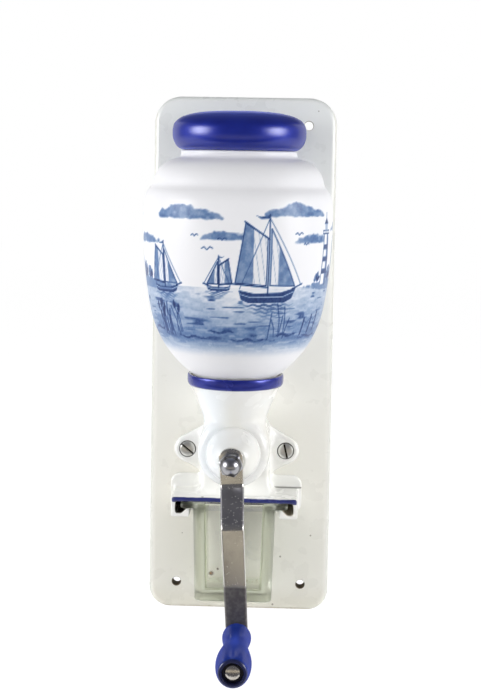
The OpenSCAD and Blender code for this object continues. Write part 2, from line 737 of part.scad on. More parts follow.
// Turning burr: a toothed cone pinned to the shaft
module inner_burr() color("dimgray") on_crank(cone_d) difference() {
    cylinder(r1 = gap_r(0), r2 = gap_r(cone_l), h = cone_l);
    grooves(cone_teeth, gap_r(ring_l / 2), true);
    rod(shaft_r + press_fit, -over, cone_l + over);
    translate([0, 0, cone_l / 4]) rotate([0, 90, 0]) cylinder(r = pin_r + press_fit, h = 3 * gap_rear_r, center = true);
}

// Two start worm that pushes the beans from the throat to the burrs
module feed_screw() color("slategray") {
    length = feed_end_d - feed_start_d;
    on_crank(feed_start_d) difference() {
        union() {
            rod(screw_core_r, 0, length);
            for (turn = [0, 180]) rotate(turn) linear_extrude(length, twist = 360 * screw_turns, slices = 18, segments = 4)
                polygon([[screw_core_r - over, -flight_w], [screw_r, -flight_w / 2], [screw_r, flight_w / 2],
                    [screw_core_r - over, flight_w]]);
        }
        rod(shaft_r + press_fit, -over, length + over);
        translate([0, 0, length - 2 * pin_r]) rotate([0, 90, 0])
            cylinder(r = pin_r + press_fit, h = 3 * screw_r, center = true);
    }
}

// Cross pins that lock the burr and the feed screw to the shaft
module drive_pins() color("silver") for (pin = [[cone_d + cone_l / 4, gap_r(cone_l / 4) - tooth_h - pin_r],
        [feed_end_d - 2 * pin_r, screw_core_r]])
    on_crank(pin[0]) rotate([0, 90, 0]) cylinder(r = pin_r, h = 2 * pin[1], center = true);

// Crank shaft: rear journal, pinned middle, square for the crank and stud for the nut
module drive_shaft() color("silver") on_crank() difference() {
    union() {
        rod(journal_r, journal_d + end_gap, cone_d);
        rod(shaft_r, cone_d, hub_d);
        translate([-square_w / 2, -square_w / 2, hub_d]) cube([square_w, square_w, bar_t - end_gap]);
        rod(stud_r, hub_d, nut_d + nut_bore_l - end_gap);
    }
    for (d = [cone_d + cone_l / 4, feed_end_d - 2 * pin_r]) translate([0, 0, d]) rotate([0, 90, 0])
        cylinder(r = pin_r + press_fit, h = 3 * shaft_r, center = true);
}

// Washer between the feed screw and the spring
module thrust_washer() color("gainsboro") on_crank() sleeve(shaft_r + press_fit, spring_r + 2 * wire_r, feed_end_d, spring_d);

// Compression spring that holds the burrs apart, swept along a helix
module thrust_spring() color("lightsteelblue") {
    sides = 6;
    steps = 12 * spring_turns;
    rise = pocket_d - end_gap - spring_d - 2 * wire_r;
    echo(spring_coil_gap = rise / spring_turns - 2 * wire_r);
    on_crank(spring_d + wire_r) polyhedron(
        [for (i = [0:steps], k = [0:sides - 1]) let (a = 360 * spring_turns * i / steps, b = 360 * k / sides)
            [(spring_r + wire_r * cos(b)) * cos(a), (spring_r + wire_r * cos(b)) * sin(a),
                rise * i / steps + wire_r * sin(b)]],
        concat([[for (k = [0:sides - 1]) k]], [[for (k = [sides - 1:-1:0]) steps * sides + k]],
            [for (i = [0:steps - 1], k = [0:sides - 1], half = [0, 1]) let (p = i * sides, q = (k + 1) % sides)
                half == 0 ? [p + k, p + sides + k, p + q] : [p + q, p + sides + k, p + sides + q]]));
}

// Notched nut behind the crank that sets the grind
module adjusting_nut() color("silver") on_shaft() difference() {
    sleeve(shaft_r + run_fit, adjuster_r, adjuster_d, adjuster_d + adjuster_t);
    for (turn = [0:45:315]) rotate([0, 0, turn]) translate([adjuster_r + pin_r / 2, 0, 0])
        rod(pin_r, adjuster_d - over, adjuster_d + adjuster_t + over);
}

// Middle line of the bar as [distance from the shaft, forward step, slope]
function bar_line() = concat(
    [[-hub_end - over, 0, 0]],
    [for (i = [0:5]) let (a = joggle_a * i / 5) [joggle_start + bend_r * sin(a), bend_r * (1 - cos(a)), a]],
    [for (i = [5:-1:0]) let (a = joggle_a * i / 5)
        [joggle_start + joggle_l - bend_r * sin(a), joggle - bend_r * (1 - cos(a)), a]],
    [[crank_r + arm_w / 2, joggle, 0]]);

// Flat steel bar, stepped forward to clear the hopper
module crank_arm() color("silver") {
    line = bar_line();
    faces = [for (side = [-1, 1]) [for (p = line) [p[0], p[1]] + side * bar_t / 2 * [-sin(p[2]), cos(p[2])]]];
    reach_d = joggle + bar_t + 2 * over;
    on_crank(hub_d) difference() {
        intersection() {
            translate([-hub_w, 0, bar_t / 2]) rotate([90, 0, 90]) linear_extrude(2 * hub_w)
                mirror([1, 0]) polygon(concat(faces[0], [for (i = [len(line) - 1:-1:0]) faces[1][i]]));
            translate([0, 0, -over]) link_plate([0, hub_end], hub_w / 2, [0, -crank_r], arm_w / 2, reach_d);
            translate([0, hub_end - hub_end_r, -over]) {
                cylinder(r = hub_end_r, h = reach_d);
                translate([-hub_w, -reach, 0]) cube([2 * hub_w, reach, reach_d]);
            }
        }
        translate([-square_w / 2 - press_fit, -square_w / 2 - press_fit, -over])
            cube([square_w + 2 * press_fit, square_w + 2 * press_fit, bar_t + 2 * over]);
        translate([0, -crank_r, joggle]) rod(spindle_r + press_fit, -over, bar_t + over);
    }
}

// Plated cap nut
module cap_nut() color("gainsboro") on_crank(nut_d) difference() {
    union() {
        rotate([0, 0, -nut_turn]) cylinder(d = nut_flats / cos(30), h = nut_h, $fn = 6);
        rotate_extrude() polygon(concat([[0, 0]], arc(0, nut_h, nut_flats / 2, nut_dome_h, 0, 90, 8)));
    }
    rod(stud_r + press_fit, -over, nut_bore_l);
}

// Spindle riveted into the crank, with a head in the knob's recess
module knob_spindle() color("silver") on_knob(0) {
    head_d = knob_d + knob_l - recess_depth + end_gap;
    rod(spindle_r + bar_t / 2, arm_d - rivet_t, arm_d);
    rod(spindle_r, arm_d, head_d);
    rotate_extrude() polygon(concat([[0, head_d], [spindle_head_r, head_d]],
        arc(0, head_d + spindle_head_t / 2, spindle_head_r, spindle_head_t / 2, 0, 90, 4)));
}

// Washer between the crank and the knob
module knob_washer() color("silver") on_knob(0)
    sleeve(spindle_r + press_fit, knob_rim_r - run_fit - bar_t / 2, knob_washer_d, knob_washer_d + knob_washer_t);

// Turned grip: a rim, a waist and a long swell
module crank_knob() color("midnightblue") on_knob(knob_d) difference() {
    swell_z = knob_l - swell_end;
    rotate_extrude() polygon(concat(
        [[0, 0]],
        arc(knob_rim_r - knob_rim_edge, knob_rim_edge, knob_rim_edge, knob_rim_edge, -90, 0, 4),
        eased(knob_rim_r, knob_rim_edge, knob_waist_r, knob_waist_l, 5),
        eased(knob_waist_r, knob_waist_l, swell_r, swell_z, 8),
        [for (p = arc(knob_tip_r, swell_z, swell_r - knob_tip_r, swell_end, 15, 90, 6)) p],
        [[0, knob_l]]));
    rod(spindle_r + run_fit, -over, knob_l + over);
    rod(recess_r, knob_l - recess_depth, knob_l + over);
}

// Thick pressed glass cup hung by its side flanges
module glass_cup() color("lightcyan", 0.6) translate([mill_x, -board_t - cup_back_d - cup_depth / 2, cup_z]) difference() {
    union() {
        drafted_block(cup_w, cup_depth, cup_h, cup_corner_r, cup_draft);
        translate([0, 0, cup_h - cup_flange_t]) linear_extrude(cup_flange_t)
            round_rect(cup_w + 2 * cup_flange_w, cup_depth, cup_corner_r / 2);
    }
    translate([0, 0, cup_floor]) drafted_block(cup_w - 2 * cup_wall, cup_depth - 2 * cup_wall, cup_h,
        cup_corner_r - cup_wall / 2, cup_draft);
}

back_board();
hopper();
hopper_gasket();
hopper_screw();
hopper_washer();
hopper_lid();
mill_body();
body_screws();
front_cap();
front_bush();
rear_bush();
outer_burr();
drive_shaft();
inner_burr();
feed_screw();
drive_pins();
thrust_washer();
thrust_spring();
adjusting_nut();
crank_arm();
cap_nut();
knob_spindle();
knob_washer();
crank_knob();
glass_cup();
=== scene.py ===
# %% [markdown]
# # A wall mounted coffee mill
# The real mill is a cream painted board that carries a ceramic bean jar, an enamelled iron
# casting with the burrs inside, a plated crank with a turned grip, and a thick glass cup.
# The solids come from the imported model, already in place. This lesson gives each of them its
# finish, and makes the pieces whose curves or decoration need a finer surface than the solids have.

# %% Load the frame
import math

import bmesh
import bpy
import numpy as np
from mathutils import Matrix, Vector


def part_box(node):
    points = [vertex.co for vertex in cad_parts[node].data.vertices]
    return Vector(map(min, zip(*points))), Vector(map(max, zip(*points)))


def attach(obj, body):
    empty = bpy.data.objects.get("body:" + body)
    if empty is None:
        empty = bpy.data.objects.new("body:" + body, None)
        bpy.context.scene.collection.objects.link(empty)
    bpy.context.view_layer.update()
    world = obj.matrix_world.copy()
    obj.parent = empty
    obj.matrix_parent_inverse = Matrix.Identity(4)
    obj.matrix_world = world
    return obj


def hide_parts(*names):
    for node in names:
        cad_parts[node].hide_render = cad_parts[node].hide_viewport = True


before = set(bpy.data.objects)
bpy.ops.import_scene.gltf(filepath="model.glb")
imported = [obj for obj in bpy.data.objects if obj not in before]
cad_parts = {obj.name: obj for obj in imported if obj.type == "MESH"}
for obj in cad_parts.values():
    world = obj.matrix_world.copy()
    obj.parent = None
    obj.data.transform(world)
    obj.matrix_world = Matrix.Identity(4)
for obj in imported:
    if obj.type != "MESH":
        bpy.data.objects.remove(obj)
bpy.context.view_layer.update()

# %% [markdown]
# ## Helpers for shapes
# Every new surface is a grid of points worked out with numpy in millimetres and in the frame of
# the model: X to the right, Y into the wall, Z up. A profile of radius and height turned round an
# axis gives the lathe work, and rings of any outline stacked along a path give the rest.

# %% Points to meshes
MM = 0.001
AXIS_X = -2.3
FRONT_Y = -10.0
FEED_D = 45.0
SHAFT_Z = -52.0
RIGHT = np.array([1.0, 0.0, 0.0])
OUT = np.array([0.0, -1.0, 0.0])
UP = np.array([0.0, 0.0, 1.0])


def grid_quads(rows, columns, wrap_rows=False, first=0):
    """Quads between neighbouring points of a grid whose columns close into a ring."""
    i = np.arange(rows if wrap_rows else rows - 1)[:, None]
    j = np.arange(columns)[None, :]
    below, beside = (i + 1) % rows, (j + 1) % columns
    quads = [i * columns + j, i * columns + beside, below * columns + beside, below * columns + j]
    return np.stack(np.broadcast_arrays(*quads), axis=-1).reshape(-1, 4) + first


def capped_grid(rows, columns):
    """Quads of stacked rings, and one face of many corners that closes them at each end."""
    ends = [list(range(columns)), list(range((rows - 1) * columns, rows * columns))]
    return grid_quads(rows, columns).tolist() + ends


def points_of(mesh):
    """All points of a mesh in millimetres, one in each row."""
    flat = np.zeros(len(mesh.vertices) * 3)
    mesh.vertices.foreach_get("co", flat)
    return flat.reshape(-1, 3) / MM


def make_piece(name, points, faces, body, stands_for, sharp=40.0):
    """Mesh object from points in millimetres: doubles merged, faces outwards, smooth up to an angle."""
    mesh = bpy.data.meshes.new(name)
    mesh.from_pydata((points * MM).tolist(), [], [list(face) for face in faces])
    shape = bmesh.new()
    shape.from_mesh(mesh)
    bmesh.ops.remove_doubles(shape, verts=shape.verts, dist=1e-6)
    bmesh.ops.dissolve_degenerate(shape, edges=shape.edges, dist=1e-7)
    bmesh.ops.recalc_face_normals(shape, faces=shape.faces)
    shape.to_mesh(mesh)
    shape.free()
    mesh.polygons.foreach_set("use_smooth", np.ones(len(mesh.polygons), bool))
    mesh.set_sharp_from_angle(angle=math.radians(sharp))
    piece = bpy.data.objects.new(name, mesh)
    bpy.context.scene.collection.objects.link(piece)
    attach(piece, body)
    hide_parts(*stands_for)
    print(name, len(mesh.vertices), "points")
    return piece


# %% [markdown]
# A lathe turns a profile, and `turned` does the same. Profiles are arcs and straight lines joined end to
# end. `evened` then spaces their points evenly and eases the corners, because no worked edge is
# truly sharp. Bars and cups have a rectangle with round corners as their section.

# %% Profiles and sections
def turned(profile, origin, along, segments, wrap_rows=True):
    """Points and faces of a profile of (radius, height) turned round an axis through the origin."""
    side = UP if abs(along[2]) < 0.5 else OUT
    angle = np.linspace(0, 2 * np.pi, segments, endpoint=False)
    spoke = np.cos(angle)[:, None] * RIGHT + np.sin(angle)[:, None] * side
    radius, height = profile[:, 0], profile[:, 1]
    points = origin + radius[:, None, None] * spoke + (height[:, None] * along)[:, None, :]
    return points.reshape(-1, 3), grid_quads(len(profile), segments, wrap_rows)


def arc(centre, radii, start, end, count):
    """Points of an elliptic arc between two angles in degrees."""
    angle = np.radians(np.linspace(start, end, count))
    return np.stack([centre[0] + radii[0] * np.cos(angle), centre[1] + radii[1] * np.sin(angle)], axis=-1)


def evened(line, step, soften=0.0):
    """The same line with evenly spaced points, its corners eased by a running mean of a given reach."""
    line = np.asarray(line, float)
    keep = np.r_[True, np.hypot(*np.diff(line, axis=0).T) > 1e-9]
    line = line[keep]
    run = np.r_[0, np.cumsum(np.hypot(*np.diff(line, axis=0).T))]
    count = max(3, int(round(run[-1] / step)) + 1)
    place = np.linspace(0, run[-1], count)
    even = np.stack([np.interp(place, run, line[:, k]) for k in range(2)], axis=-1)
    reach = int(round(soften / step))
    for _ in range(2 if reach else 0):
        weight = np.ones(2 * reach + 1) / (2 * reach + 1)
        before = 2 * even[:1] - even[reach:0:-1]
        after = 2 * even[-1:] - even[-2:-reach - 2:-1]
        padded = np.concatenate([before, even, after])
        even = np.stack([np.convolve(padded[:, k], weight, "valid") for k in range(2)], axis=-1)
    return even


def round_rect_ring(half_w, half_d, radius, count):
    """Points of a rectangle with round corners: four quarter circles joined by straights."""
    angle = np.radians(np.concatenate([np.linspace(90 * k, 90 * k + 90, count) for k in range(4)]))
    sign_x = np.repeat([1, -1, -1, 1], count)
    sign_y = np.repeat([1, 1, -1, -1], count)
    x = sign_x * (half_w - radius)[:, None] + radius[:, None] * np.cos(angle)
    y = sign_y * (half_d - radius)[:, None] + radius[:, None] * np.sin(angle)
    return x, y


# %% [markdown]
# ## Helpers for finishes
# A finish is a node tree. It could be wired by hand in the editor, but then it can't be read here.
# `Wire` wraps one socket, so that a mask can be written as a formula: each sum or product adds the
# Math node it needs.

# %% Shader maths as Python
def tint(red, green, blue):
    """A screen colour from 0 to 255 as the linear colour that the shader works in."""
    screen = np.array([red, green, blue]) / 255.0
    linear = np.where(screen <= 0.04045, screen / 12.92, ((screen + 0.055) / 1.055) ** 2.4)
    return (*linear.tolist(), 1.0)


def first_node(tree, kind):
    """The first node of a type in a node tree."""
    return next(node for node in tree.nodes if node.type == kind)


class Wire:
    """One output in a node tree, with arithmetic."""

    def __init__(self, paint, socket):
        self.paint, self.socket = paint, socket

    def maths(self, operation, *values):
        """A Math node on these values."""
        return self.paint.add("Math", {"operation": operation}, dict(enumerate(values)))

    def __add__(self, other):
        return self.maths("ADD", self, other)

    def __radd__(self, other):
        return self.maths("ADD", other, self)

    def __sub__(self, other):
        return self.maths("SUBTRACT", self, other)

    def __rsub__(self, other):
        return self.maths("SUBTRACT", other, self)

    def __mul__(self, other):
        return self.maths("MULTIPLY", self, other)

    def __rmul__(self, other):
        return self.maths("MULTIPLY", other, self)

    def higher(self, other):
        """The higher of the two values."""
        return self.maths("MAXIMUM", self, other)

    def size(self):
        """The value without its sign."""
        return self.maths("ABSOLUTE", self)

    def rise(self, low, high):
        """0 below low, 1 above high and a smooth rise between, or a fall where low is above high."""
        ends = {"From Min": low, "From Max": high, "To Min": 0.0, "To Max": 1.0}
        return self.paint.add("MapRange", {"interpolation_type": "SMOOTHSTEP"}, {"Value": self, **ends})


# %% [markdown]
# `Paint` is one material. It makes every other node through one method. A setting that is the same all
# over sits on the shader's own socket, and what changes over the surface is fed into it. Masks use
# the object's own coordinates in metres, so they stay in place when a joint moves the piece.

# %% Materials
class Paint:
    """A material with one Principled shader, whose constants are set on its own sockets."""

    def __init__(self, name, **constants):
        self.material = bpy.data.materials.new(name)
        self.material.use_nodes = True
        self.tree = self.material.node_tree
        self.shader = first_node(self.tree, "BSDF_PRINCIPLED")
        for socket, value in constants.items():
            self.shader.inputs[socket.replace("_", " ")].default_value = value
        self.place = self.add("TexCoord", out="Object")

    def add(self, kind, settings=None, inputs=None, out=0):
        """A node of a kind, with its settings first and then the values or links of its sockets."""
        node = self.tree.nodes.new("ShaderNode" + kind)
        for key, value in (settings or {}).items():
            if key == "stops":
                self.set_stops(node.color_ramp, value)
            else:
                setattr(node, key, value)
        for key, value in (inputs or {}).items():
            self.join(value, node.inputs[key])
        return Wire(self, node.outputs[out])

    def set_stops(self, ramp, stops):
        """The stops of a colour ramp as pairs of place and colour."""
        while len(ramp.elements) < len(stops):
            ramp.elements.new(0.5)
        for element, (place, colour) in zip(ramp.elements, stops):
            element.position, element.color = place, colour

    def join(self, value, socket):
        """A link from a wire, or a plain value on the socket."""
        if isinstance(value, Wire):
            self.tree.links.new(value.socket, socket)
        else:
            socket.default_value = value

    def feed(self, socket, value):
        """Something that varies over the surface, into the main shader."""
        self.join(value, self.shader.inputs[socket])

    def fed(self, socket):
        """What already feeds a socket of the main shader, to be worked on further."""
        return Wire(self, self.shader.inputs[socket].links[0].from_socket)

    def noise(self, scale, detail=2.0, rough=0.5, stretch=(1.0, 1.0, 1.0)):
        """Cloudy values about 0.5; scale is in waves per metre, and stretch squeezes an axis."""
        where = self.place
        if stretch != (1.0, 1.0, 1.0):
            where = self.add("Mapping", None, {"Vector": self.place, "Scale": stretch})
        inputs = {"Vector": where, "Scale": scale, "Detail": detail, "Roughness": rough}
        return self.add("TexNoise", None, inputs)

    def cells(self, scale):
        """Distance to the nearest of many scattered points."""
        return self.add("TexVoronoi", None, {"Vector": self.place, "Scale": scale}, out="Distance")

    def axes(self):
        """The three coordinates in metres."""
        parts = self.add("SeparateXYZ", None, {"Vector": self.place})
        return [Wire(self, parts.socket.node.outputs[k]) for k in range(3)]

    def blend(self, share, first, second):
        """A colour between two others."""
        return self.add("Mix", {"data_type": "RGBA"}, {0: share, 6: first, 7: second}, out=2)

    def relief(self, height, depth):
        """Small relief in metres, into the Normal of the main shader."""
        bump = self.add("Bump", None, {"Height": height, "Distance": depth, "Strength": 1.0}, out="Normal")
        self.feed("Normal", bump)

    def off_axis(self, x, z):
        """Distance from an axis along Y through a point in millimetres."""
        parts = self.axes()
        flat = self.add("CombineXYZ", None, {0: parts[0], 1: 0.0, 2: parts[2]})
        centre = (x * MM, 0.0, z * MM)
        return self.add("VectorMath", {"operation": "DISTANCE"}, {0: flat, 1: centre}, out="Value")

    def ring(self, x, z, inner, outer):
        """1 between two radii round an axis along Y, with soft borders."""
        gap = self.off_axis(x, z)
        return gap.rise((inner - 0.2) * MM, inner * MM) * gap.rise((outer + 0.2) * MM, outer * MM)

    def near(self, x, y, z, reach):
        """1 at a point given in millimetres, falling to 0 at its reach."""
        point = (x * MM, y * MM, z * MM)
        gap = self.add("VectorMath", {"operation": "DISTANCE"}, {0: self.place, 1: point}, out="Value")
        return gap.rise(reach * MM, 0.4 * reach * MM)


# %% [markdown]
# Solids that come over as they are get smooth shading up to an angle, so that bores look round and
# edges stay crisp. Two modifiers do that and leave the solid's shape as it was.

# %% Finishes on pieces
def dress(node, paint, sharp=30.0):
    """A carried over solid gets its material, and is shaded smooth up to an angle."""
    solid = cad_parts[node]
    normals = solid.data.attributes.get("custom_normal")
    if normals:
        solid.data.attributes.remove(normals)
    solid.data.polygons.foreach_set("use_smooth", np.ones(len(solid.data.polygons), bool))
    weld = solid.modifiers.new("weld", "WELD")
    weld.merge_threshold = 1e-6
    split = solid.modifiers.new("split", "EDGE_SPLIT")
    split.split_angle = math.radians(sharp)
    cover(solid, paint)


def cover(piece, paint):
    """The one material of a piece."""
    piece.data.materials.clear()
    piece.data.materials.append(paint.material)
    print(piece.name, "wears", paint.material.name, "with", len(paint.tree.nodes), "nodes")


# %% [markdown]
# ## Camera
# The photograph was taken from about a metre away, from a little above the mill and to the right
# of it, with the lens looking slightly down and to the left. The frame shows more below the lens
# axis than above it, which is what the camera's shift says.

# %% Camera
CAMERA_AT = np.array([30.9, -960.0, 132.0])
PITCH, YAW, ROLL = math.radians(4.09), math.radians(-1.98), math.radians(0.95)
FOCAL_PX, FRAME_H, SHIFT_PX, SENSOR = 1442.8, 700.0, 90.0, 36.0


def camera_axes(pitch, yaw, roll):
    """Right and up of a camera that looks along +Y, after a turn about Z, a tilt down and a roll."""
    level = np.array([math.cos(yaw), -math.sin(yaw), 0.0])
    ahead = np.array([math.sin(yaw), math.cos(yaw), 0.0])
    upright = math.sin(pitch) * ahead + math.cos(pitch) * UP
    right = math.cos(roll) * level + math.sin(roll) * upright
    return right, math.cos(roll) * upright - math.sin(roll) * level


right, upright = camera_axes(PITCH, YAW, ROLL)
camera = bpy.data.objects.new("camera", bpy.data.cameras.new("camera"))
bpy.context.scene.collection.objects.link(camera)
turn = np.eye(4)
turn[:3, :3] = np.stack([right, upright, np.cross(right, upright)], axis=-1)
turn[:3, 3] = CAMERA_AT * MM
camera.matrix_world = Matrix(turn.tolist())
camera.data.lens = FOCAL_PX * SENSOR / FRAME_H
camera.data.shift_y = -SHIFT_PX / FRAME_H
bpy.context.scene.camera = camera
print("lens", round(camera.data.lens, 1), "mm")

# %% [markdown]
# ## Light and background
# The mill hangs in a white room between two large soft lamps, which stand nearly beside it, so its
# sides are brighter than its front. The world is white to the camera, in reflections and through
# glass, and gives the rest of the light. Cards that only reflections see stand for the dim room
# above, in front and at the sides, for its floor, and for the dark edge of the table before the
# mill: without them plated steel and dark lacquer look like paper.

# %% World
world = bpy.data.worlds.new("white_room")
world.use_nodes = True
bpy.context.scene.world = world
bpy.context.scene.view_settings.view_transform = "Standard"
AMBIENT = 0.24


def white_to_eye(tree, dim, bright):
    """One strength for camera, mirror and glass rays, and another for the light that falls on things."""
    path = tree.nodes.new("ShaderNodeLightPath")
    seen = path.outputs["Is Camera Ray"]
    for ray in ("Is Glossy Ray", "Is Transmission Ray"):
        either = tree.nodes.new("ShaderNodeMath")
        either.operation = "MAXIMUM"
        tree.links.new(seen, either.inputs[0])
        tree.links.new(path.outputs[ray], either.inputs[1])
        seen = either.outputs[0]
    level = tree.nodes.new("ShaderNodeMapRange")
    level.inputs["To Min"].default_value = dim
    level.inputs["To Max"].default_value = bright
    tree.links.new(seen, level.inputs["Value"])
    return level.outputs[0]


sky = first_node(world.node_tree, "BACKGROUND")
sky.inputs["Color"].default_value = (1.0, 1.0, 1.0, 1.0)
world.node_tree.links.new(white_to_eye(world.node_tree, AMBIENT, 1.0), sky.inputs["Strength"])
print("the world is white to the eye and lights things with", AMBIENT)

# %% [markdown]
# ### Lamps
# A cloth lamp is brightest in its middle. A plain rectangle of light has hard borders, which would
# show as hard patches in lacquer and glaze. So the strength falls off from the middle of the cloth.

# %% Lamps
# The mean of the falloff over the cloth, by which its middle is made brighter
CLOTH_SHARE = 0.2356


def soft_edges(light):
    """The cloth is brightest in the middle and falls to nothing at its border, with the same power in all."""
    light.use_nodes = True
    tree = light.node_tree
    place = tree.nodes.new("ShaderNodeNewGeometry")
    off_centre = tree.nodes.new("ShaderNodeVectorMath")
    off_centre.operation = "DISTANCE"
    off_centre.inputs[1].default_value = (0.5, 0.5, 0.0)
    fall = tree.nodes.new("ShaderNodeMapRange")
    fall.interpolation_type = "SMOOTHSTEP"
    ends = {"From Min": 0.5, "From Max": 0.0, "To Min": 0.0, "To Max": 1 / CLOTH_SHARE}
    for socket, value in ends.items():
        fall.inputs[socket].default_value = value
    glow = first_node(tree, "EMISSION")
    tree.links.new(place.outputs["Parametric"], off_centre.inputs[0])
    tree.links.new(off_centre.outputs["Value"], fall.inputs["Value"])
    tree.links.new(fall.outputs[0], glow.inputs["Strength"])


def lamp(name, at, aim, size, watts):
    """A soft rectangular lamp at a point, turned to another point, both in metres."""
    light = bpy.data.lights.new(name, "AREA")
    light.shape = "RECTANGLE"
    light.size, light.size_y = size
    light.energy = watts
    soft_edges(light)
    holder = bpy.data.objects.new(name, light)
    bpy.context.scene.collection.objects.link(holder)
    back = np.array(at) - np.array(aim)
    back = back / np.linalg.norm(back)
    level = np.cross(UP, back)
    level = level / np.linalg.norm(level)
    pose = np.eye(4)
    pose[:3, :3] = np.stack([level, np.cross(back, level), back], axis=-1)
    pose[:3, 3] = at
    holder.matrix_world = Matrix(pose.tolist())
    print(name, size, "m,", watts, "W")


LAMP_ASIDE, LAMP_NEAR, LAMP_UP = 1.4, -0.6, 0.32
CLOTH, MILL_MIDDLE = (1.5, 1.1), (0.0, -0.05, 0.0)
for name, x, watts in (("left_lamp", -LAMP_ASIDE, 19.8), ("right_lamp", LAMP_ASIDE, 18.4)):
    lamp(name, (x, LAMP_NEAR, LAMP_UP), MILL_MIDDLE, CLOTH, watts)

# %% [markdown]
# ### Floor
# The floor is as white as the room. Plain paint would look grey there, and a sheet that only glows
# would take no shadow, so the camera sees a mix of the two.

# %% Floor
def flat_sheet(name, corners):
    """A plain rectangle of the stage from its four corners in metres."""
    mesh = bpy.data.meshes.new(name)
    mesh.from_pydata(corners, [], [(0, 1, 2, 3)])
    sheet = bpy.data.objects.new(name, mesh)
    bpy.context.scene.collection.objects.link(sheet)
    return sheet


FLOOR_HALF, FLOOR_Z, FLOOR_GLOW, FLOOR_SHARE = 6.0, -0.32, 1.32, 0.7
corner_signs = ((-1, -1), (1, -1), (1, 1), (-1, 1))
floor = flat_sheet("floor", [(x * FLOOR_HALF, y * FLOOR_HALF, FLOOR_Z) for x, y in corner_signs])
floor_paint = Paint("floor_white", Base_Color=(0.85, 0.85, 0.85, 1.0), Roughness=0.9)
floor_tree = floor_paint.tree
floor_glow = floor_tree.nodes.new("ShaderNodeEmission")
floor_glow.inputs["Strength"].default_value = FLOOR_GLOW
floor_mix = floor_tree.nodes.new("ShaderNodeMixShader")
floor_out = first_node(floor_tree, "OUTPUT_MATERIAL")
floor_tree.links.new(white_to_eye(floor_tree, 0.0, FLOOR_SHARE), floor_mix.inputs[0])
floor_tree.links.new(floor_paint.shader.outputs[0], floor_mix.inputs[1])
floor_tree.links.new(floor_glow.outputs[0], floor_mix.inputs[2])
floor_tree.links.new(floor_mix.outputs[0], floor_out.inputs["Surface"])
cover(floor, floor_paint)

# %% [markdown]
# ### Cards
# Plated steel and lacquer show the room round them. More lamps could fill their reflections, but
# they would light the mill too. A card is a glowing sheet that is hidden from every ray but the
# mirrored ones, so it changes only what metal and lacquer show.

# %% Cards
CARD_X, CARD_FRONT, CARD_TOP, CARD_BACK, CARD_SIDE, CARD_LOW = 2.4, -2.6, 1.8, 5.0, 1.5, -0.315
FAR_EDGE, NEAR_EDGE = -0.8, -0.4


def card(name, corners, glow):
    """A sheet that only reflections see, from its corners in metres, with its own glow."""
    sheet = flat_sheet(name, corners)
    paint = Paint(name, Base_Color=(0.0, 0.0, 0.0, 1.0), Roughness=1.0, Specular_IOR_Level=0.0)
    paint.shader.inputs["Emission Color"].default_value = (*glow, 1.0)
    paint.shader.inputs["Emission Strength"].default_value = 1.0
    cover(sheet, paint)
    for ray in ("camera", "diffuse", "shadow", "transmission"):
        setattr(sheet, "visible_" + ray, False)


def room_wide(y0, z0, y1, z1):
    """Corners of a sheet that spans the room's width between two heights and depths."""
    return [(-CARD_X, y0, z0), (CARD_X, y0, z0), (CARD_X, y1, z1), (-CARD_X, y1, z1)]


card("card_above", room_wide(CARD_FRONT, CARD_TOP, CARD_BACK, CARD_TOP), (0.14, 0.14, 0.165))
card("card_front", room_wide(CARD_FRONT, CARD_LOW, CARD_FRONT, CARD_TOP), (0.14, 0.14, 0.16))
card("card_low", room_wide(CARD_FRONT, CARD_LOW, FAR_EDGE, CARD_LOW), (0.78, 0.71, 0.58))
card("card_near", room_wide(FAR_EDGE, CARD_LOW, NEAR_EDGE, CARD_LOW), (0.07, 0.07, 0.09))
for side, x in (("left", -CARD_X), ("right", CARD_X)):
    low_edge = [(x, CARD_FRONT, CARD_LOW), (x, CARD_SIDE, CARD_LOW)]
    high_edge = [(x, CARD_SIDE, CARD_TOP), (x, CARD_FRONT, CARD_TOP)]
    card("card_" + side, low_edge + high_edge, (0.3, 0.3, 0.33))

# %% [markdown]
# ## The bean jar
# The jar is slip cast, so its outline is one soft profile: a bowl on a foot, a slow belly, a
# rounded edge, a shoulder and a neck. Where it lies against the board it is flat. The grid takes
# the lower of the round radius and the distance to that flat, eased where they meet. The band
# with the decoration has a much finer grid than the rest, because it carries the drawing.

# %% Jar surface
HOPPER_R, HOPPER_WALL, FOOT_R, OUTLET_R = 59.29, 4.5, 24.5, 14.0
BOWL_R, SIDE_R, SIDE_A = 68.0, 270.0, 11.0
CROWN_W, CROWN_H, SHOULDER_H = 5.5, 13.5, 18.0
NECK_R, NECK_H, BELLY_H, HOPPER_Z = 36.2, 4.8, 10.5, -6.5
side_end = HOPPER_R - SIDE_R * (1 - math.cos(math.radians(SIDE_A)))
bowl_x = side_end - BOWL_R * math.cos(math.radians(SIDE_A))
bowl_h = math.sqrt(BOWL_R ** 2 - (FOOT_R - bowl_x) ** 2)
belly_h = bowl_h + (SIDE_R - BOWL_R) * math.sin(math.radians(SIDE_A))
crown_h = belly_h + BELLY_H
shoulder_h = crown_h + CROWN_H
neck_h = shoulder_h + SHOULDER_H
rim_h = neck_h + NECK_H
shoulder_w = HOPPER_R - CROWN_W - NECK_R


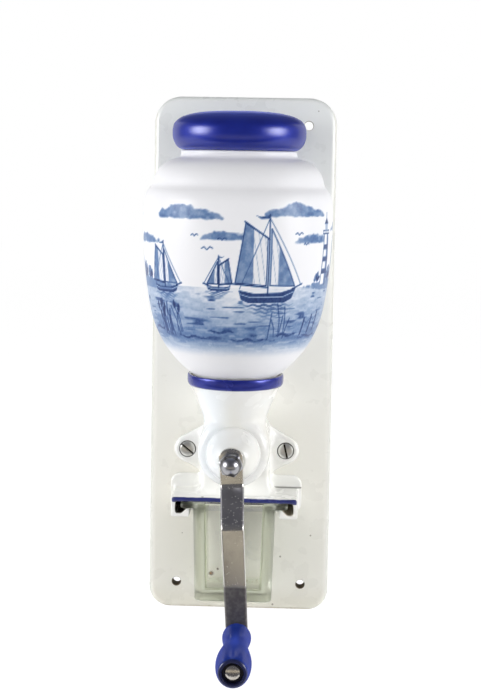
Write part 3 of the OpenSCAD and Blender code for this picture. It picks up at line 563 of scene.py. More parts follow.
def jar_outline(wall):
    """Half outline of the jar from foot to rim, drawn in by a wall."""
    low = -math.degrees(math.asin((bowl_h - wall) / (BOWL_R - wall)))
    return np.concatenate([
        arc((bowl_x, bowl_h), (BOWL_R - wall,) * 2, low, -SIDE_A, 60),
        arc((HOPPER_R - SIDE_R, belly_h), (SIDE_R - wall,) * 2, -SIDE_A, 0, 40),
        arc((HOPPER_R - CROWN_W, crown_h), (CROWN_W - wall, CROWN_H - wall), 0, 90, 20),
        arc((NECK_R, shoulder_h), (shoulder_w - wall, SHOULDER_H - wall), 0, 90, 24),
        [[NECK_R - wall, neck_h - wall], [NECK_R - wall, rim_h - 1.2]],
    ])


BAND_LOW, BAND_HIGH, FINE = 18.0, 113.0, 0.64
outside = evened(jar_outline(0.0), FINE, 1.7)
in_band = (outside[:, 1] > BAND_LOW) & (outside[:, 1] < BAND_HIGH)
first_fine, last_fine = np.flatnonzero(in_band)[[0, -1]]
lower_rows = outside[:first_fine:5]
band_rows = outside[first_fine:last_fine + 1]
upper_rows = outside[last_fine + 4::3]
rim_rows = arc((NECK_R - HOPPER_WALL / 2, rim_h - 1.2), (HOPPER_WALL / 2, 1.2), 0, 180, 9)
inner_rows = evened(jar_outline(HOPPER_WALL), 4.0)[::-1]
foot_rows = np.array([
    [OUTLET_R + 1.0, HOPPER_WALL], [OUTLET_R, HOPPER_WALL - 1.0], [OUTLET_R, 1.0], [OUTLET_R + 1.0, 0.0],
    [FOOT_R - 1.2, 0.0], [FOOT_R - 0.3, 0.35],
])
print("jar outline of", len(outside), "points,", round(rim_h, 1), "mm high")

# %% [markdown]
# The columns are even round the front, where the drawing is, and wide behind. Each wide column is
# split in four inside the band, and faces of seven corners join the two spacings, so no edge is
# left open.

# %% Jar columns and faces
SPLIT = 4
FRONT_HALF, BACK_STEP = 108, 4
front_columns = np.linspace(-FRONT_HALF, FRONT_HALF, 103)
back_columns = np.linspace(FRONT_HALF + BACK_STEP, 360 - FRONT_HALF - BACK_STEP, 35)
wide = np.r_[front_columns, back_columns]
step = np.diff(np.r_[wide, wide[0] + 360])
fine = (wide[:, None] + step[:, None] * np.arange(SPLIT) / SPLIT).ravel()


def jar_ring(rows, turn, flat):
    """Points of stacked rings: the radius eases into the distance to a flat back."""
    angle = np.radians(turn)[None, :]
    radius = rows[:, :1]
    behind = np.maximum(-np.cos(angle), 1e-3)
    to_flat = (FEED_D - flat) / behind
    ease = 3.0
    gap = np.clip(0.5 + (radius - to_flat) / (2 * ease), 0, 1)
    reach = radius * (1 - gap) + to_flat * gap - ease * gap * (1 - gap)
    x = AXIS_X + reach * np.sin(angle)
    y = FRONT_Y - FEED_D - reach * np.cos(angle)
    z = np.broadcast_to(HOPPER_Z + rows[:, 1:], x.shape)
    return np.stack([x, y, z], axis=-1).reshape(-1, 3)


def joining_faces(wide_first, fine_first, count):
    """Faces of seven corners between a wide ring and the fine ring next to it."""
    i = np.arange(count)[:, None]
    ahead = fine_first + (SPLIT * i + np.arange(SPLIT, -1, -1)) % (SPLIT * count)
    return np.concatenate([wide_first + i, wide_first + (i + 1) % count, ahead], axis=1)


coarse_up = np.concatenate([upper_rows, rim_rows])
coarse_in = np.concatenate([inner_rows, foot_rows])
blocks = [
    jar_ring(lower_rows, wide, 0.0), jar_ring(band_rows, fine, 0.0), jar_ring(coarse_up, wide, 0.0),
    jar_ring(coarse_in, wide, HOPPER_WALL),
]
starts = np.cumsum([0] + [len(block) for block in blocks])
columns = len(wide)
jar_points = np.concatenate(blocks)
faces = [
    grid_quads(len(lower_rows), columns),
    grid_quads(len(band_rows), len(fine), first=starts[1]),
    grid_quads(len(coarse_up) + len(coarse_in), columns, first=starts[2]),
    joining_faces(starts[1] - columns, starts[1], columns),
    joining_faces(starts[2], starts[2] - len(fine), columns),
]
last = starts[4] - columns + np.arange(columns)
closing = np.stack([last, np.roll(last, -1), np.roll(np.arange(columns), -1), np.arange(columns)], axis=-1)
jar_faces = [face for block in faces + [closing] for face in block.tolist()]
print("jar rings", len(lower_rows), len(band_rows), len(coarse_up), len(coarse_in))

# %% [markdown]
# ## The drawing on the jar
# Blue under-glaze pictures were transfer printed on such jars: line work with flat tones and soft
# washes. This one is a generic lake: sailing boats, a light tower on a bank, trees, clouds, gulls
# and reeds. It is drawn as a tone from 0 to 1 on the points of the band. Each motif is a distance
# function, and its coverage is laid over what was there before, as with stencils.

# %% Drawing tools
SOFT = 0.45


def to_segment(u, v, start, end):
    """Distance from points to a straight stroke."""
    a, b = np.array(start, float), np.array(end, float)
    along = ((u - a[0]) * (b - a)[0] + (v - a[1]) * (b - a)[1]) / max(((b - a) ** 2).sum(), 1e-9)
    along = np.clip(along, 0, 1)
    return np.hypot(u - a[0] - along * (b - a)[0], v - a[1] - along * (b - a)[1])


def to_line(u, v, points):
    """Distance to a bent stroke: the least of the distances to its straight parts."""
    return np.min([to_segment(u, v, a, b) for a, b in zip(points[:-1], points[1:])], axis=0)


def to_shape(u, v, corners):
    """Distance to a closed outline, below 0 inside, where a ray crosses it an odd number of times."""
    ring = list(corners) + [corners[0]]
    inside = np.zeros(np.shape(u), bool)
    for (ax, ay), (bx, by) in zip(ring[:-1], ring[1:]):
        crosses = (ay > v) != (by > v)
        inside ^= crosses & (u < (bx - ax) * (v - ay) / ((by - ay) or 1e-9) + ax)
    return np.where(inside, -1, 1) * to_line(u, v, ring)


def to_oval(u, v, x, y, rx, ry):
    """Nearly the distance to an ellipse: its scaled radius less one, in the units of its shorter half."""
    return (np.hypot((u - x) / rx, (v - y) / ry) - 1) * min(rx, ry)


def cloudy(u, v, seed, size):
    """Smooth values from 0 to 1: a lattice of random numbers with eased steps between them."""
    lattice = np.random.default_rng(seed).random((64, 64))
    x, y = u / size + 31.3, v / size + 17.7
    i, j = np.floor(x).astype(int), np.floor(y).astype(int)
    s, t = x - i, y - j
    s, t = s * s * (3 - 2 * s), t * t * (3 - 2 * t)
    near = lattice[i % 64, j % 64] * (1 - s) + lattice[(i + 1) % 64, j % 64] * s
    far = lattice[i % 64, (j + 1) % 64] * (1 - s) + lattice[(i + 1) % 64, (j + 1) % 64] * s
    return near * (1 - t) + far * t


def lay(tone, distance, value, soft=SOFT):
    """A value laid over the tone where the distance is below 0, with a soft edge."""
    cover_share = np.clip(0.5 - distance / soft, 0, 1)
    return tone * (1 - cover_share) + value * cover_share


def draw(tone, u, v, strokes, width, value):
    """Bent strokes of one width laid over the tone."""
    for points in strokes:
        tone = lay(tone, to_line(u, v, points) - width / 2, value)
    return tone


# %% [markdown]
# ### Sky, banks and water
# A printer lays the large tones first: clouds, the wash of the water and the land at both sides. An
# image texture could carry them, but it would need a file and has one resolution. So clouds and
# tree crowns are ovals made ragged by lattice noise, and the water is a tone that deepens
# towards the viewer, with long ripples.

# %% Sky, banks and water
HORIZON = 34.5


def sky_and_water(u, v):
    """Clouds are joined ovals with flat undersides, the water a wash with long ripples."""
    tone = np.zeros_like(u)
    ragged = (cloudy(u, v, 1, 3.2) - 0.5) * 3.2 + (cloudy(u, v, 2, 1.4) - 0.5) * 1.6
    clouds = [
        (-70, 60, 15), (-31, 76, 21), (-5, 64, 13), (40, 78, 20), (55, 62, 14), (90, 68, 12), (-94, 76, 10),
    ]
    parts = [(-0.55, 0.0, 0.5), (-0.1, 0.13, 0.52), (0.35, 0.06, 0.45), (0.75, -0.02, 0.4)]
    for x, y, w in clouds:
        puffs = [to_oval(u, v, x + k * w, y + h * w, s * w, s * w * 0.42) for k, h, s in parts]
        body = np.maximum(np.min(puffs, axis=0) + ragged * 0.5, y - 0.05 * w - v + 0.35 * ragged)
        tone = lay(tone, body, 0.44 + 0.24 * cloudy(u, v, 3, 2.5), 0.9)
    depth = np.clip((HORIZON - v) / HORIZON, 0, 1.3)
    calm = np.exp(-((u - 6) / 34) ** 2)
    wash = 0.24 + 0.42 * depth - 0.3 * calm * np.clip(1 - depth, 0, 1)
    wash = wash + 0.16 * (cloudy(u * 0.3, v, 4, 2.2) - 0.5) + 0.1 * (cloudy(u * 0.5, v, 5, 0.9) - 0.5)
    tone = np.where(v < HORIZON, np.clip(wash, 0.05, 0.75), tone)
    crest = cloudy(u * 0.22, v, 6, 1.6) - 0.62 - 0.1 * np.clip(depth, 0, 1)
    tone = np.where((v < HORIZON - 2) & (crest > 0), tone * 0.78, tone)
    stroke = cloudy(u * 0.14 + 9, v, 7, 1.25) - 0.79 + 0.1 * np.clip(depth - 0.35, 0, 1)
    dark = np.clip(stroke * 9, 0, 1) * (v < HORIZON - 3)
    return tone * (1 - dark) + 0.78 * dark


def banks(tone, u, v):
    """Low land on both sides with round tree crowns and, on the right, slim poplars."""
    rough = (cloudy(u, v, 8, 1.7) - 0.5) * 2.2
    land = np.minimum(to_oval(u, v, -86, HORIZON, 46, 3.4), to_oval(u, v, 86, HORIZON, 36, 3.0))
    tone = lay(tone, land + 0.4 * rough, 0.55)
    crowns = [
        (-96, 45, 8, 9), (-84, 43, 6.5, 6.5), (-75, 41.5, 5, 5), (-66, 40.5, 4.2, 3.8),
        (-57, 39.6, 3.4, 2.8), (60, 39.8, 3.4, 2.6), (78, 41.5, 4.6, 4.6), (97, 43, 7, 7),
    ]
    for x, y, rx, ry in crowns:
        crown = to_oval(u, v, x, y, rx, ry) + rough
        tone = lay(tone, crown, 0.5 + 0.25 * (cloudy(u, v, 9, 1.3) > 0.5))
        low_side = to_oval(u, v, x + 0.35 * rx, y - 0.3 * ry, 0.62 * rx, 0.6 * ry) + rough
        tone = lay(tone, np.maximum(crown + 0.6, low_side), 0.92)
    for x, top in ((85, 62), (89.5, 66), (93.5, 60)):
        slim = to_oval(u, v, x, (HORIZON + top) / 2 + 1, 1.9, (top - HORIZON) / 2) + 0.5 * rough
        tone = lay(tone, slim, 0.62)
        tone = lay(tone, np.maximum(slim + 0.3, x + 0.2 - u), 0.95)
    return tone


# %% [markdown]
# ### Tower and boats
# The middle distance is line work with flat tones. Curves could be turned into meshes on the jar,
# but they would stand proud of the glaze. Outlines of a few points, filled and then edged with a
# stroke, look like a transfer print, and one function draws a boat of any size and heading.

# %% Light tower and boats
def light_tower(tone, u, v):
    """A tapered round tower with bands, a gallery, a lantern and a cap."""
    x, foot, top = 69.0, HORIZON, 66.0
    wall = [(x - 4.6, foot), (x + 4.6, foot), (x + 2.9, top), (x - 2.9, top)]
    tone = lay(tone, to_shape(u, v, wall) - 0.5, 0.0)
    shade = [(x + 0.9, foot), (x + 4.6, foot), (x + 2.9, top), (x + 0.8, top)]
    tone = lay(tone, to_shape(u, v, shade), 0.62)
    for y in (43.0, 50.5, 58.0):
        band = np.maximum(to_shape(u, v, wall), np.abs(v - y) - 1.5)
        tone = lay(tone, band, 0.86)
    tone = draw(tone, u, v, [wall + wall[:1]], 0.65, 0.95)
    gallery = [[(x - 4.6, y), (x + 4.6, y)] for y in (top, top + 2)]
    tone = draw(tone, u, v, gallery, 0.6, 0.95)
    tone = draw(tone, u, v, [[(x + k, top), (x + k, top + 2)] for k in (-4.4, -2.2, 0, 2.2, 4.4)], 0.5, 0.95)
    lantern = [(x - 2, top + 2), (x + 2, top + 2), (x + 2, top + 6), (x - 2, top + 6)]
    tone = lay(tone, to_shape(u, v, lantern), 0.3)
    tone = lay(tone, to_shape(u, v, [(x - 3, top + 6), (x + 3, top + 6), (x, top + 10)]), 0.95)
    return draw(tone, u, v, [[(x, top + 10), (x, top + 13)]], 0.5, 0.95)


def boat(tone, u, v, x, foot, size, heading):
    """A broad sailing boat: dark hull, mast, gaff sail, foresail with seams, pennant, broken reflection."""
    def at(points):
        """Points of the boat's own drawing, scaled, turned to its heading and moved to its place."""
        return [(x + heading * size * p, foot + size * q) for p, q in points]

    hull = at([(-17, 6.5), (-15.5, 1), (-11, -0.8), (11, -0.8), (16, 1.5), (18.5, 7.5), (8, 5), (-8, 4.6)])
    sail = at([(-1, 9), (-19, 10.5), (-13.5, 44), (-1, 36)])
    fore = at([(1.2, 41), (1.2, 9), (17.5, 8.5)])
    cloudiness = 0.22 * cloudy(u, v, 11, 3.0)
    for cloth, fold in ((sail, -9), (fore, 6)):
        edge = to_shape(u, v, cloth)
        tone = lay(tone, edge - 0.3, 0.03)
        lean = (u - x) * heading / size + 0.16 * (v - foot) / size
        seams = np.abs((lean + 40) % 3.2 - 1.6) * size - 0.16
        tone = lay(tone, np.maximum(edge, seams), 0.4)
        shade = (fold - (u - x) * heading / size) * size
        tone = lay(tone, np.maximum(edge, shade if fold > 0 else -shade), 0.42 + cloudiness)
        tone = draw(tone, u, v, [cloth + cloth[:1]], 0.62, 0.95)
    tone = lay(tone, to_shape(u, v, hull), 0.9)
    plank = at([(-16, 4.2), (-10, 2.4), (10, 2.6), (17, 5.2)])
    tone = draw(tone, u, v, [plank], 0.55, 0.25)
    spars = [[(0, 4), (0, 49)], [(-20, 10), (0, 8)], [(-14, 45), (0, 35)], [(16, 7), (23, 9.5)]]
    tone = draw(tone, u, v, [at(spar) for spar in spars], 0.75, 1.0)
    stays = [at([(0, 47), (22, 9.2)]), at([(0, 47), (-16.5, 7)])]
    tone = draw(tone, u, v, stays, 0.42, 0.85)
    flag = at([(0, 48.6), (-5, 47.6), (-8, 48.4), (-5, 46.4), (0, 46.6)])
    tone = lay(tone, to_shape(u, v, flag), 0.8)
    for k in range(5):
        y = foot - size * (2.2 + 2.0 * k)
        wide = size * (15 - 2.4 * k)
        bob = v + 0.5 * np.sin(u * 0.9 + k)
        wave = to_oval(u, bob, x + heading * (k % 2) * 2, y, wide, 0.55 * size + 0.15)
        tone = lay(tone, wave, 0.74 - 0.07 * k)
    return tone


# %% [markdown]
# ### Foreground
# Gulls, reeds, posts and dark strokes in the shallows come last, because they stand before the rest.
# The reeds are random, from a fixed seed, so that every run gives the same jar. At the end the tone
# fades at the sides and below, as a transfer print does.

# %% Gulls, reeds and the whole drawing
def gulls_and_reeds(tone, u, v):
    """Gulls are two shallow arches, reeds bent strokes with dark heads; posts stand in the shallows."""
    for x, y, s in ((-16, 57, 3.4), (-7, 63, 2.6), (-24, 65, 2.2), (41, 66, 2.8), (47, 60, 2.0)):
        shape = [(-1, 0.2), (-0.55, 0.5), (0, 0), (0.55, 0.55), (1, 0.3)]
        tone = draw(tone, u, v, [[(x + k * s, y + h * s) for k, h in shape]], 0.6, 0.9)
    draws = np.random.default_rng(21)
    for cluster, count in ((-52, 13), (-43, 7), (30, 6)):
        for _ in range(count):
            x, tall, bend = cluster + draws.uniform(-6, 6), draws.uniform(9, 21), draws.uniform(-5, 5)
            foot = draws.uniform(3, 7)
            stem = [(x, foot), (x + 0.25 * bend, foot + 0.5 * tall), (x + bend, foot + tall)]
            tone = draw(tone, u, v, [stem], 0.62, 0.9)
            if draws.random() < 0.4:
                tone = lay(tone, to_oval(u, v, x + 0.85 * bend, foot + 0.9 * tall, 0.85, 2.6), 1.0)
    posts = [[(x, 5 + k), (x + 0.6, 15 + 1.5 * k)] for k, x in enumerate((52, 60, 67))]
    tone = draw(tone, u, v, posts, 1.5, 0.92)
    rope = [[(52.6, 14), (56, 11.6), (60.6, 15.5)], [(60.6, 15.5), (64, 13.4), (67.6, 17)]]
    return draw(tone, u, v, rope, 0.5, 0.85)


def draw_lake(u, v):
    """The whole drawing, from the sky to the strokes in front, fading out at the sides and below."""
    tone = banks(sky_and_water(u, v), u, v)
    tone = light_tower(tone, u, v)
    tone = boat(tone, u, v, -9.0, HORIZON - 1.5, 0.42, -1)
    tone = boat(tone, u, v, -48.0, HORIZON - 4.0, 0.62, 1)
    tone = boat(tone, u, v, 21.0, HORIZON - 8.0, 1.06, 1)
    tone = gulls_and_reeds(tone, u, v)
    shallows = [
        (-62, 7, 9), (-30, 3.5, 12), (-8, 7.5, 9), (12, 2.5, 14),
        (38, 5.5, 11), (64, 3.2, 12), (84, 8, 9), (-84, 4, 10),
    ]
    for x, y, w in shallows:
        stroke = to_oval(u, v + 0.6 * np.sin(0.5 * u), x, y, w, 0.75) + 0.7 * (cloudy(u, v, 12, 1.6) - 0.5)
        tone = lay(tone, stroke, 0.86)
    below = np.clip((v + 10) / 13, 0, 1)
    sides = np.clip((106 - np.abs(u)) / 8, 0, 1)
    grain = 0.93 + 0.14 * cloudy(u, v, 13, 0.9)
    return np.clip(tone * below ** 1.5 * sides * grain, 0, 1)


# %% [markdown]
# ### The drawing on the jar's points
# On a real jar the print follows the curve of the belly. So the tone is worked out at each point,
# from its place round the axis and its height, and kept as an attribute of the points. A UV map
# with a painted image would do as well, but the attribute needs no file and is as fine as the grid.

# %% Jar with its drawing
MIDDLE_R, DRAWING_FOOT, DRAWING_TOP, SKIN = 58.0, 20.0, 116, 1.5
jar = make_piece("bean_jar", jar_points, jar_faces, "mill", ["hopper"], sharp=50.0)
spots = points_of(jar.data)
swing = np.arctan2(spots[:, 0] - AXIS_X, FRONT_Y - FEED_D - spots[:, 1])
out_r = np.hypot(spots[:, 0] - AXIS_X, spots[:, 1] - FRONT_Y + FEED_D)
skin = np.interp(spots[:, 2] - HOPPER_Z, outside[:, 1], outside[:, 0]) - out_r < SKIN
drawn = draw_lake(swing * MIDDLE_R, spots[:, 2] - DRAWING_FOOT)
drawn = np.where(skin & (spots[:, 2] - HOPPER_Z < DRAWING_TOP), drawn, 0)
jar.data.attributes.new("tone", "FLOAT", "POINT").data.foreach_set("value", drawn.astype(np.float32))
print("drawing covers", round(float((drawn > 0.1).mean()), 2), "of the points")

# %% [markdown]
# ## Finishes
# The glaze is smooth and deep, so the blue lies under a clear coat. Enamel on iron is nearly as
# smooth, but thicker in the hollows and a little creamy there. The board has brushed gloss paint
# with specks. Lacquer on turned wood shows faint rings from the lathe.

# %% Glaze with its blue
glaze = Paint("glaze", Coat_Weight=0.05, Coat_Roughness=0.08, Specular_IOR_Level=0.22)
tone = glaze.add("Attribute", {"attribute_name": "tone"}, out="Fac")
mottle = glaze.noise(900.0, 3.0)
white = glaze.blend(glaze.noise(45.0), tint(232, 232, 236), tint(236, 236, 239))
stops = [
    (0.0, (1, 1, 1, 1)), (0.25, tint(186, 202, 222)), (0.55, tint(112, 142, 184)),
    (0.8, tint(60, 88, 142)), (1.0, tint(32, 50, 102)),
]
blue = glaze.add("ValToRGB", {"stops": stops}, {"Fac": tone * (0.9 + 0.2 * mottle)}, out="Color")
multiply = {"data_type": "RGBA", "blend_type": "MULTIPLY"}
glaze.feed("Base Color", glaze.add("Mix", multiply, {0: 1.0, 6: white, 7: blue}, out=2))
glaze.feed("Roughness", 0.28 + 0.1 * glaze.noise(120.0))
glaze.relief(glaze.noise(60.0, 1.0) * 0.7 + 0.3 * glaze.noise(260.0, 1.0), 0.00025)
cover(jar, glaze)

# %% [markdown]
# ## The lid
# The lid is a turned cushion of wood with a hollow plug in the jar's neck. Its side swells past
# the neck and its top is nearly flat, which a quarter of a superellipse describes well.

# %% Lid
LID_R, LID_SEAT_R, LID_H, LID_BULGE, LID_FULL = 41.9, 34.5, 24.5, 10.3, 3.0
PLUG_H, PLUG_WALL, LID_HOLLOW = 8.0, 5.0, 6.0
PLUG_R = NECK_R - HOPPER_WALL - 0.6
LID_Z = HOPPER_Z + rim_h
swept = np.radians(np.linspace(0, 90, 60))
crown_r = LID_R * np.cos(swept) ** (2 / LID_FULL)
crown_z = LID_BULGE + (LID_H - LID_BULGE) * np.sin(swept) ** (2 / LID_FULL)
crown = np.stack([crown_r, crown_z], axis=-1)
under = arc((LID_SEAT_R, LID_BULGE), (LID_R - LID_SEAT_R, LID_BULGE), -90, 0, 24)
lid_line = evened(np.concatenate([[[PLUG_R, 0.0]], under, crown]), 0.7, 0.7)
lid_profile = np.concatenate([
    [[0.0, LID_HOLLOW], [PLUG_R - PLUG_WALL, LID_HOLLOW], [PLUG_R - PLUG_WALL, -PLUG_H + 0.6],
     [PLUG_R - PLUG_WALL + 0.6, -PLUG_H], [PLUG_R - 0.8, -PLUG_H], [PLUG_R, -PLUG_H + 0.8]],
    lid_line[:-1], [[0.0, LID_H]],
])
feed_origin = np.array([AXIS_X, FRONT_Y - FEED_D, 0.0])
points, faces = turned(lid_profile, feed_origin + LID_Z * UP, UP, 144, wrap_rows=False)
lid = make_piece("turned_lid", points, faces, "lid", ["hopper_lid"])

# %% [markdown]
# ### Lacquer
# The lacquer is a deep blue under a clear varnish, and the turned wood below it keeps faint rings.
# A plain glossy blue would look like plastic, and a full mirror coat would turn the flanks milky. So
# half of the base reflects like blue metal, a sheen lifts the edges, and the coat is weaker where
# it is seen at a flat angle.

# %% Lacquer
def lacquer(name, along, clear, loss, deep, pale):
    """Two blues in a brush cloud, rings along an axis, and a clear coat that loses a share at flat angles."""
    paint = Paint(
        name, Metallic=0.5, Specular_IOR_Level=0.2, Specular_Tint=tint(90, 112, 205), Coat_Roughness=0.24,
        Sheen_Weight=0.35, Sheen_Roughness=0.4, Sheen_Tint=tint(96, 122, 255),
    )
    _, y, z = paint.axes()
    height = z if abs(along[2]) > 0.5 else y
    rings = paint.add("TexNoise", {"noise_dimensions": "1D"}, {"W": height, "Scale": 900.0, "Detail": 2.0})
    cloud = paint.noise(70.0, 3.0)
    blue = paint.blend(cloud.rise(0.3, 0.7), deep, pale)
    specks = (0.055 - paint.cells(700.0)).rise(0.0, 0.03) * paint.noise(30.0).rise(0.55, 0.7)
    paint.feed("Base Color", paint.blend(specks * 0.5, blue, tint(92, 100, 170)))
    paint.feed("Roughness", 0.48 + 0.1 * cloud)
    grazing = paint.add("LayerWeight", None, {"Blend": 0.5}, out="Facing")
    paint.feed("Coat Weight", clear - loss * clear * grazing.rise(0.35, 0.85))
    paint.relief(rings * 0.5 + 0.5 * paint.noise(220.0, 1.0), 0.0001)
    return paint


cover(lid, lacquer("lid_lacquer", UP, 1.0, 0.35, tint(18, 34, 134), tint(22, 40, 146)))

# %% [markdown]
# ## The casting
# One iron casting makes the collar, the funnel, the drum, the ears, the shelf and the runners.
# In the foundry every inner corner is filleted and every edge is eased, and enamel rounds it
# further. No single grid gives such a branching shape, so a copy of the solid is cut into small
# even cells and smoothed, which fills the inner corners and eases the edges.

# %% Casting
def even_cells(node, cell):
    """A mesh of a solid's copy, cut into even cells of a size in millimetres."""
    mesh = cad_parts[node].data.copy()
    shape = bmesh.new()
    shape.from_mesh(mesh)
    bmesh.ops.remove_doubles(shape, verts=shape.verts, dist=1e-6)
    shape.to_mesh(mesh)
    shape.free()
    draft = bpy.data.objects.new("draft", mesh)
    bpy.context.scene.collection.objects.link(draft)
    remesh = draft.modifiers.new("cells", "REMESH")
    remesh.mode = "VOXEL"
    remesh.voxel_size = cell * MM
    cells = bpy.data.meshes.new_from_object(draft.evaluated_get(bpy.context.evaluated_depsgraph_get()))
    bpy.data.objects.remove(draft)
    return cells


def smoothed(points, edges, weight, passes):
    """Each pass moves a point half way to the mean of its neighbours, times its weight."""
    a, b = edges.T
    count = np.bincount(edges.ravel(), minlength=len(points))[:, None]
    for _ in range(passes):
        total = [
            np.bincount(a, points[b, k], len(points)) + np.bincount(b, points[a, k], len(points))
            for k in range(3)
        ]
        points = points + 0.5 * weight[:, None] * (np.stack(total, axis=-1) / count - points)
    return points


def fade(value, low, high):
    """A straight rise from 0 at low to 1 at high, or a fall where low is above high."""
    return np.clip((value - low) / (high - low), 0, 1)


EAR_X, EAR_DROP = 32.5, 9.7
CELL, FIRST_PASSES, FILLET_PASSES = 0.75, 6, 60
cells = even_cells("mill_body", CELL)
spots = points_of(cells)
edges = np.zeros(len(cells.edges) * 2, int)
cells.edges.foreach_get("vertices", edges)
edges = edges.reshape(-1, 2)
spots = smoothed(spots, edges, np.ones(len(spots)), FIRST_PASSES)
print("casting cut into cells of", CELL, "mm:", len(spots), "points")

# %% [markdown]
# A second, longer smoothing works only where the funnel, drum, ears and chute run into each other.
# The collar, the screw holes, the shelf, the runners, the lip round the cap and everything inside
# keep their shape.

# %% Cast fillets
aside = spots[:, 0] - AXIS_X
depth = FRONT_Y - spots[:, 1]
over_shaft = spots[:, 2] - SHAFT_Z
from_shaft = np.hypot(aside, over_shaft)
from_feed = np.hypot(aside, depth - FEED_D)
from_ear = np.hypot(np.abs(aside) - EAR_X, over_shaft + EAR_DROP)
COLLAR_UNDER, SHELF_OVER, EAR_HEAD_R, CHAMBER_OUT, DRUM_OUT, LIP_D = 37, -33, 9, 19, 22, 62
# Below the collar, above the shelf and off the board
soft = fade(over_shaft, COLLAR_UNDER, COLLAR_UNDER - 7) * fade(over_shaft, SHELF_OVER, SHELF_OVER + 7)
soft = soft * fade(depth, 0.5, 2.5)
# Outside the screw heads and the chamber
in_chamber = np.maximum(from_shaft - CHAMBER_OUT, -0.5)
soft = soft * fade(from_ear, EAR_HEAD_R, EAR_HEAD_R + 2) * fade(in_chamber, -0.5, 1.0)
# Outside the funnel's hollow, which widens with height
hollow_r = np.interp(over_shaft, [19, 43], [15.8, 24])
soft = np.where(over_shaft > 16, soft * (from_feed > hollow_r), soft)
# Behind the lip round the cap
soft = np.where(from_shaft < DRUM_OUT, soft * fade(depth, LIP_D, LIP_D - 5), soft)
inside_chute = (np.abs(aside) < 17) & (over_shaft < -14) & (depth < 17.5)
spots = smoothed(spots, edges, np.where(inside_chute, 0, soft), FILLET_PASSES)
cells.vertices.foreach_set("co", (spots * MM).ravel())
cells.polygons.foreach_set("use_smooth", np.ones(len(cells.polygons), bool))
casting = bpy.data.objects.new("casting", cells)
bpy.context.scene.collection.objects.link(casting)
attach(casting, "mill")
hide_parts("mill_body")
print("casting", len(spots), "points, of which", int((soft > 0.5).sum()), "in the fillets")

# %% [markdown]
# The blue lines on the collar and the shelf were painted by hand over the white, so their edges
# wander. Distances from the collar's rim and the shelf's front edge give the masks, with a little
# slow noise added before the cut.

# %% Blue lines
COLLAR_Z, COLLAR_BAND, COLLAR_R = -4.5, 8.6, 30.4
SHELF_Z, SHELF_T, SHELF_D = -87.5, 3.2, 35.0


def blue_lines(paint, base):
    """Bands by the drop below the collar's rim and the shelf's top, their edges moved by slow noise."""
    x, y, z = paint.axes()
    wander = (paint.noise(95.0, 2.0) - 0.5) * 0.0026
    flat = {0: x - AXIS_X * MM, 1: y - (FRONT_Y - FEED_D) * MM, 2: 0.0}
    round_feed = paint.add("CombineXYZ", None, flat)
    from_feed = paint.add("VectorMath", {"operation": "LENGTH"}, {0: round_feed}, out="Value")
    drop = COLLAR_Z * MM - z + wander
    band = drop.rise(-0.0008, -0.0004) * drop.rise((COLLAR_BAND - 0.8) * MM, (COLLAR_BAND - 1.3) * MM)
    band = band * from_feed.rise((COLLAR_R - 1.3) * MM, (COLLAR_R - 0.9) * MM)
    below = SHELF_Z * MM - z + 0.5 * wander
    edge = below.rise(-0.0002, 0.0003) * below.rise((SHELF_T + 0.5) * MM, (SHELF_T + 0.1) * MM)
    front = (FRONT_Y - SHELF_D + 1.1) * MM
    edge = edge * (y + 0.3 * wander).rise(front + 0.0005, front)
    stroke = paint.noise(160.0, 2.0, stretch=(1.0, 1.0, 3.0))
    blue = paint.blend(stroke.rise(0.3, 0.7), tint(24, 35, 124), tint(30, 42, 138))
    base = paint.blend(band, base, blue)
    dull_blue = paint.blend(stroke.rise(0.3, 0.7), tint(30, 38, 98), tint(38, 46, 112))
    base = paint.blend(edge, base, dull_blue)
    paint.feed("Metallic", 0.4 * band)
    return base


# %% [markdown]
# Marks lie on the white: a chip at the shelf's edge, coffee dust with painted shade in the grooves
# that carry the cup, lighter on the right as painted light, a dark line where the shelf meets the
# board, and a dark ring round each screw head. They could be painted by hand on an image. Products
# of smooth steps along the axes give the same soft stencils and stay with the sizes.

# %% Marks and painted shade
GROOVE_IN, GROOVE_OUT, GROOVE_D, GROOVE_LOW, GROOVE_HIGH = 29.3, 38.4, 33.4, -98.8, -90.2


def marks_and_painted_shade(paint, base):
    """A chip, dust and painted shade in the grooves, a dark line and dark rings: each a product of steps,
    laid over the white.
    """
    x, y, z = paint.axes()
    chip = paint.near(AXIS_X - 20.6, FRONT_Y - SHELF_D + 2.5, SHELF_Z, 1.3)
    base = paint.blend(chip, base, tint(128, 124, 116))
    # Coffee dust with painted shade in the grooves; the lighter colour on the right is painted light.
    off_middle = (x - AXIS_X * MM).size()
    groove_dust_and_shade = off_middle.rise((GROOVE_IN - 0.2) * MM, (GROOVE_IN + 0.2) * MM)
    groove_dust_and_shade = groove_dust_and_shade * off_middle.rise((GROOVE_OUT + 0.2) * MM, (GROOVE_OUT - 0.2) * MM)
    groove_dust_and_shade = groove_dust_and_shade * (y - FRONT_Y * MM).rise(-GROOVE_D * MM, (0.9 - GROOVE_D) * MM)
    groove_dust_and_shade = groove_dust_and_shade * z.rise(GROOVE_LOW * MM, (GROOVE_LOW + 0.5) * MM)
    groove_dust_and_shade = groove_dust_and_shade * z.rise(GROOVE_HIGH * MM, (GROOVE_HIGH - 0.5) * MM)
    dust = paint.blend(x.rise(-0.01, 0.01), tint(82, 76, 66), tint(194, 183, 165))
    base = paint.blend(groove_dust_and_shade * 0.95, base, dust)
    # A dark line where the shelf meets the board, on the right only.
    seam = (z - (SHELF_Z + 0.5) * MM).size().rise(0.0008, 0.0003)
    seam = seam * (y - (FRONT_Y - 2.4) * MM).size().rise(0.0013, 0.0007)
    base = paint.blend(seam * x.rise(0.017, 0.02) * 0.75, base, tint(88, 84, 76))
    # A dark ring round each screw head.
    for side in (-1, 1):
        dark_ring = paint.ring(AXIS_X + side * EAR_X, SHAFT_Z - EAR_DROP, 4.6, 5.5)
        base = paint.blend(dark_ring * 0.85, base, tint(58, 54, 50))
    return base
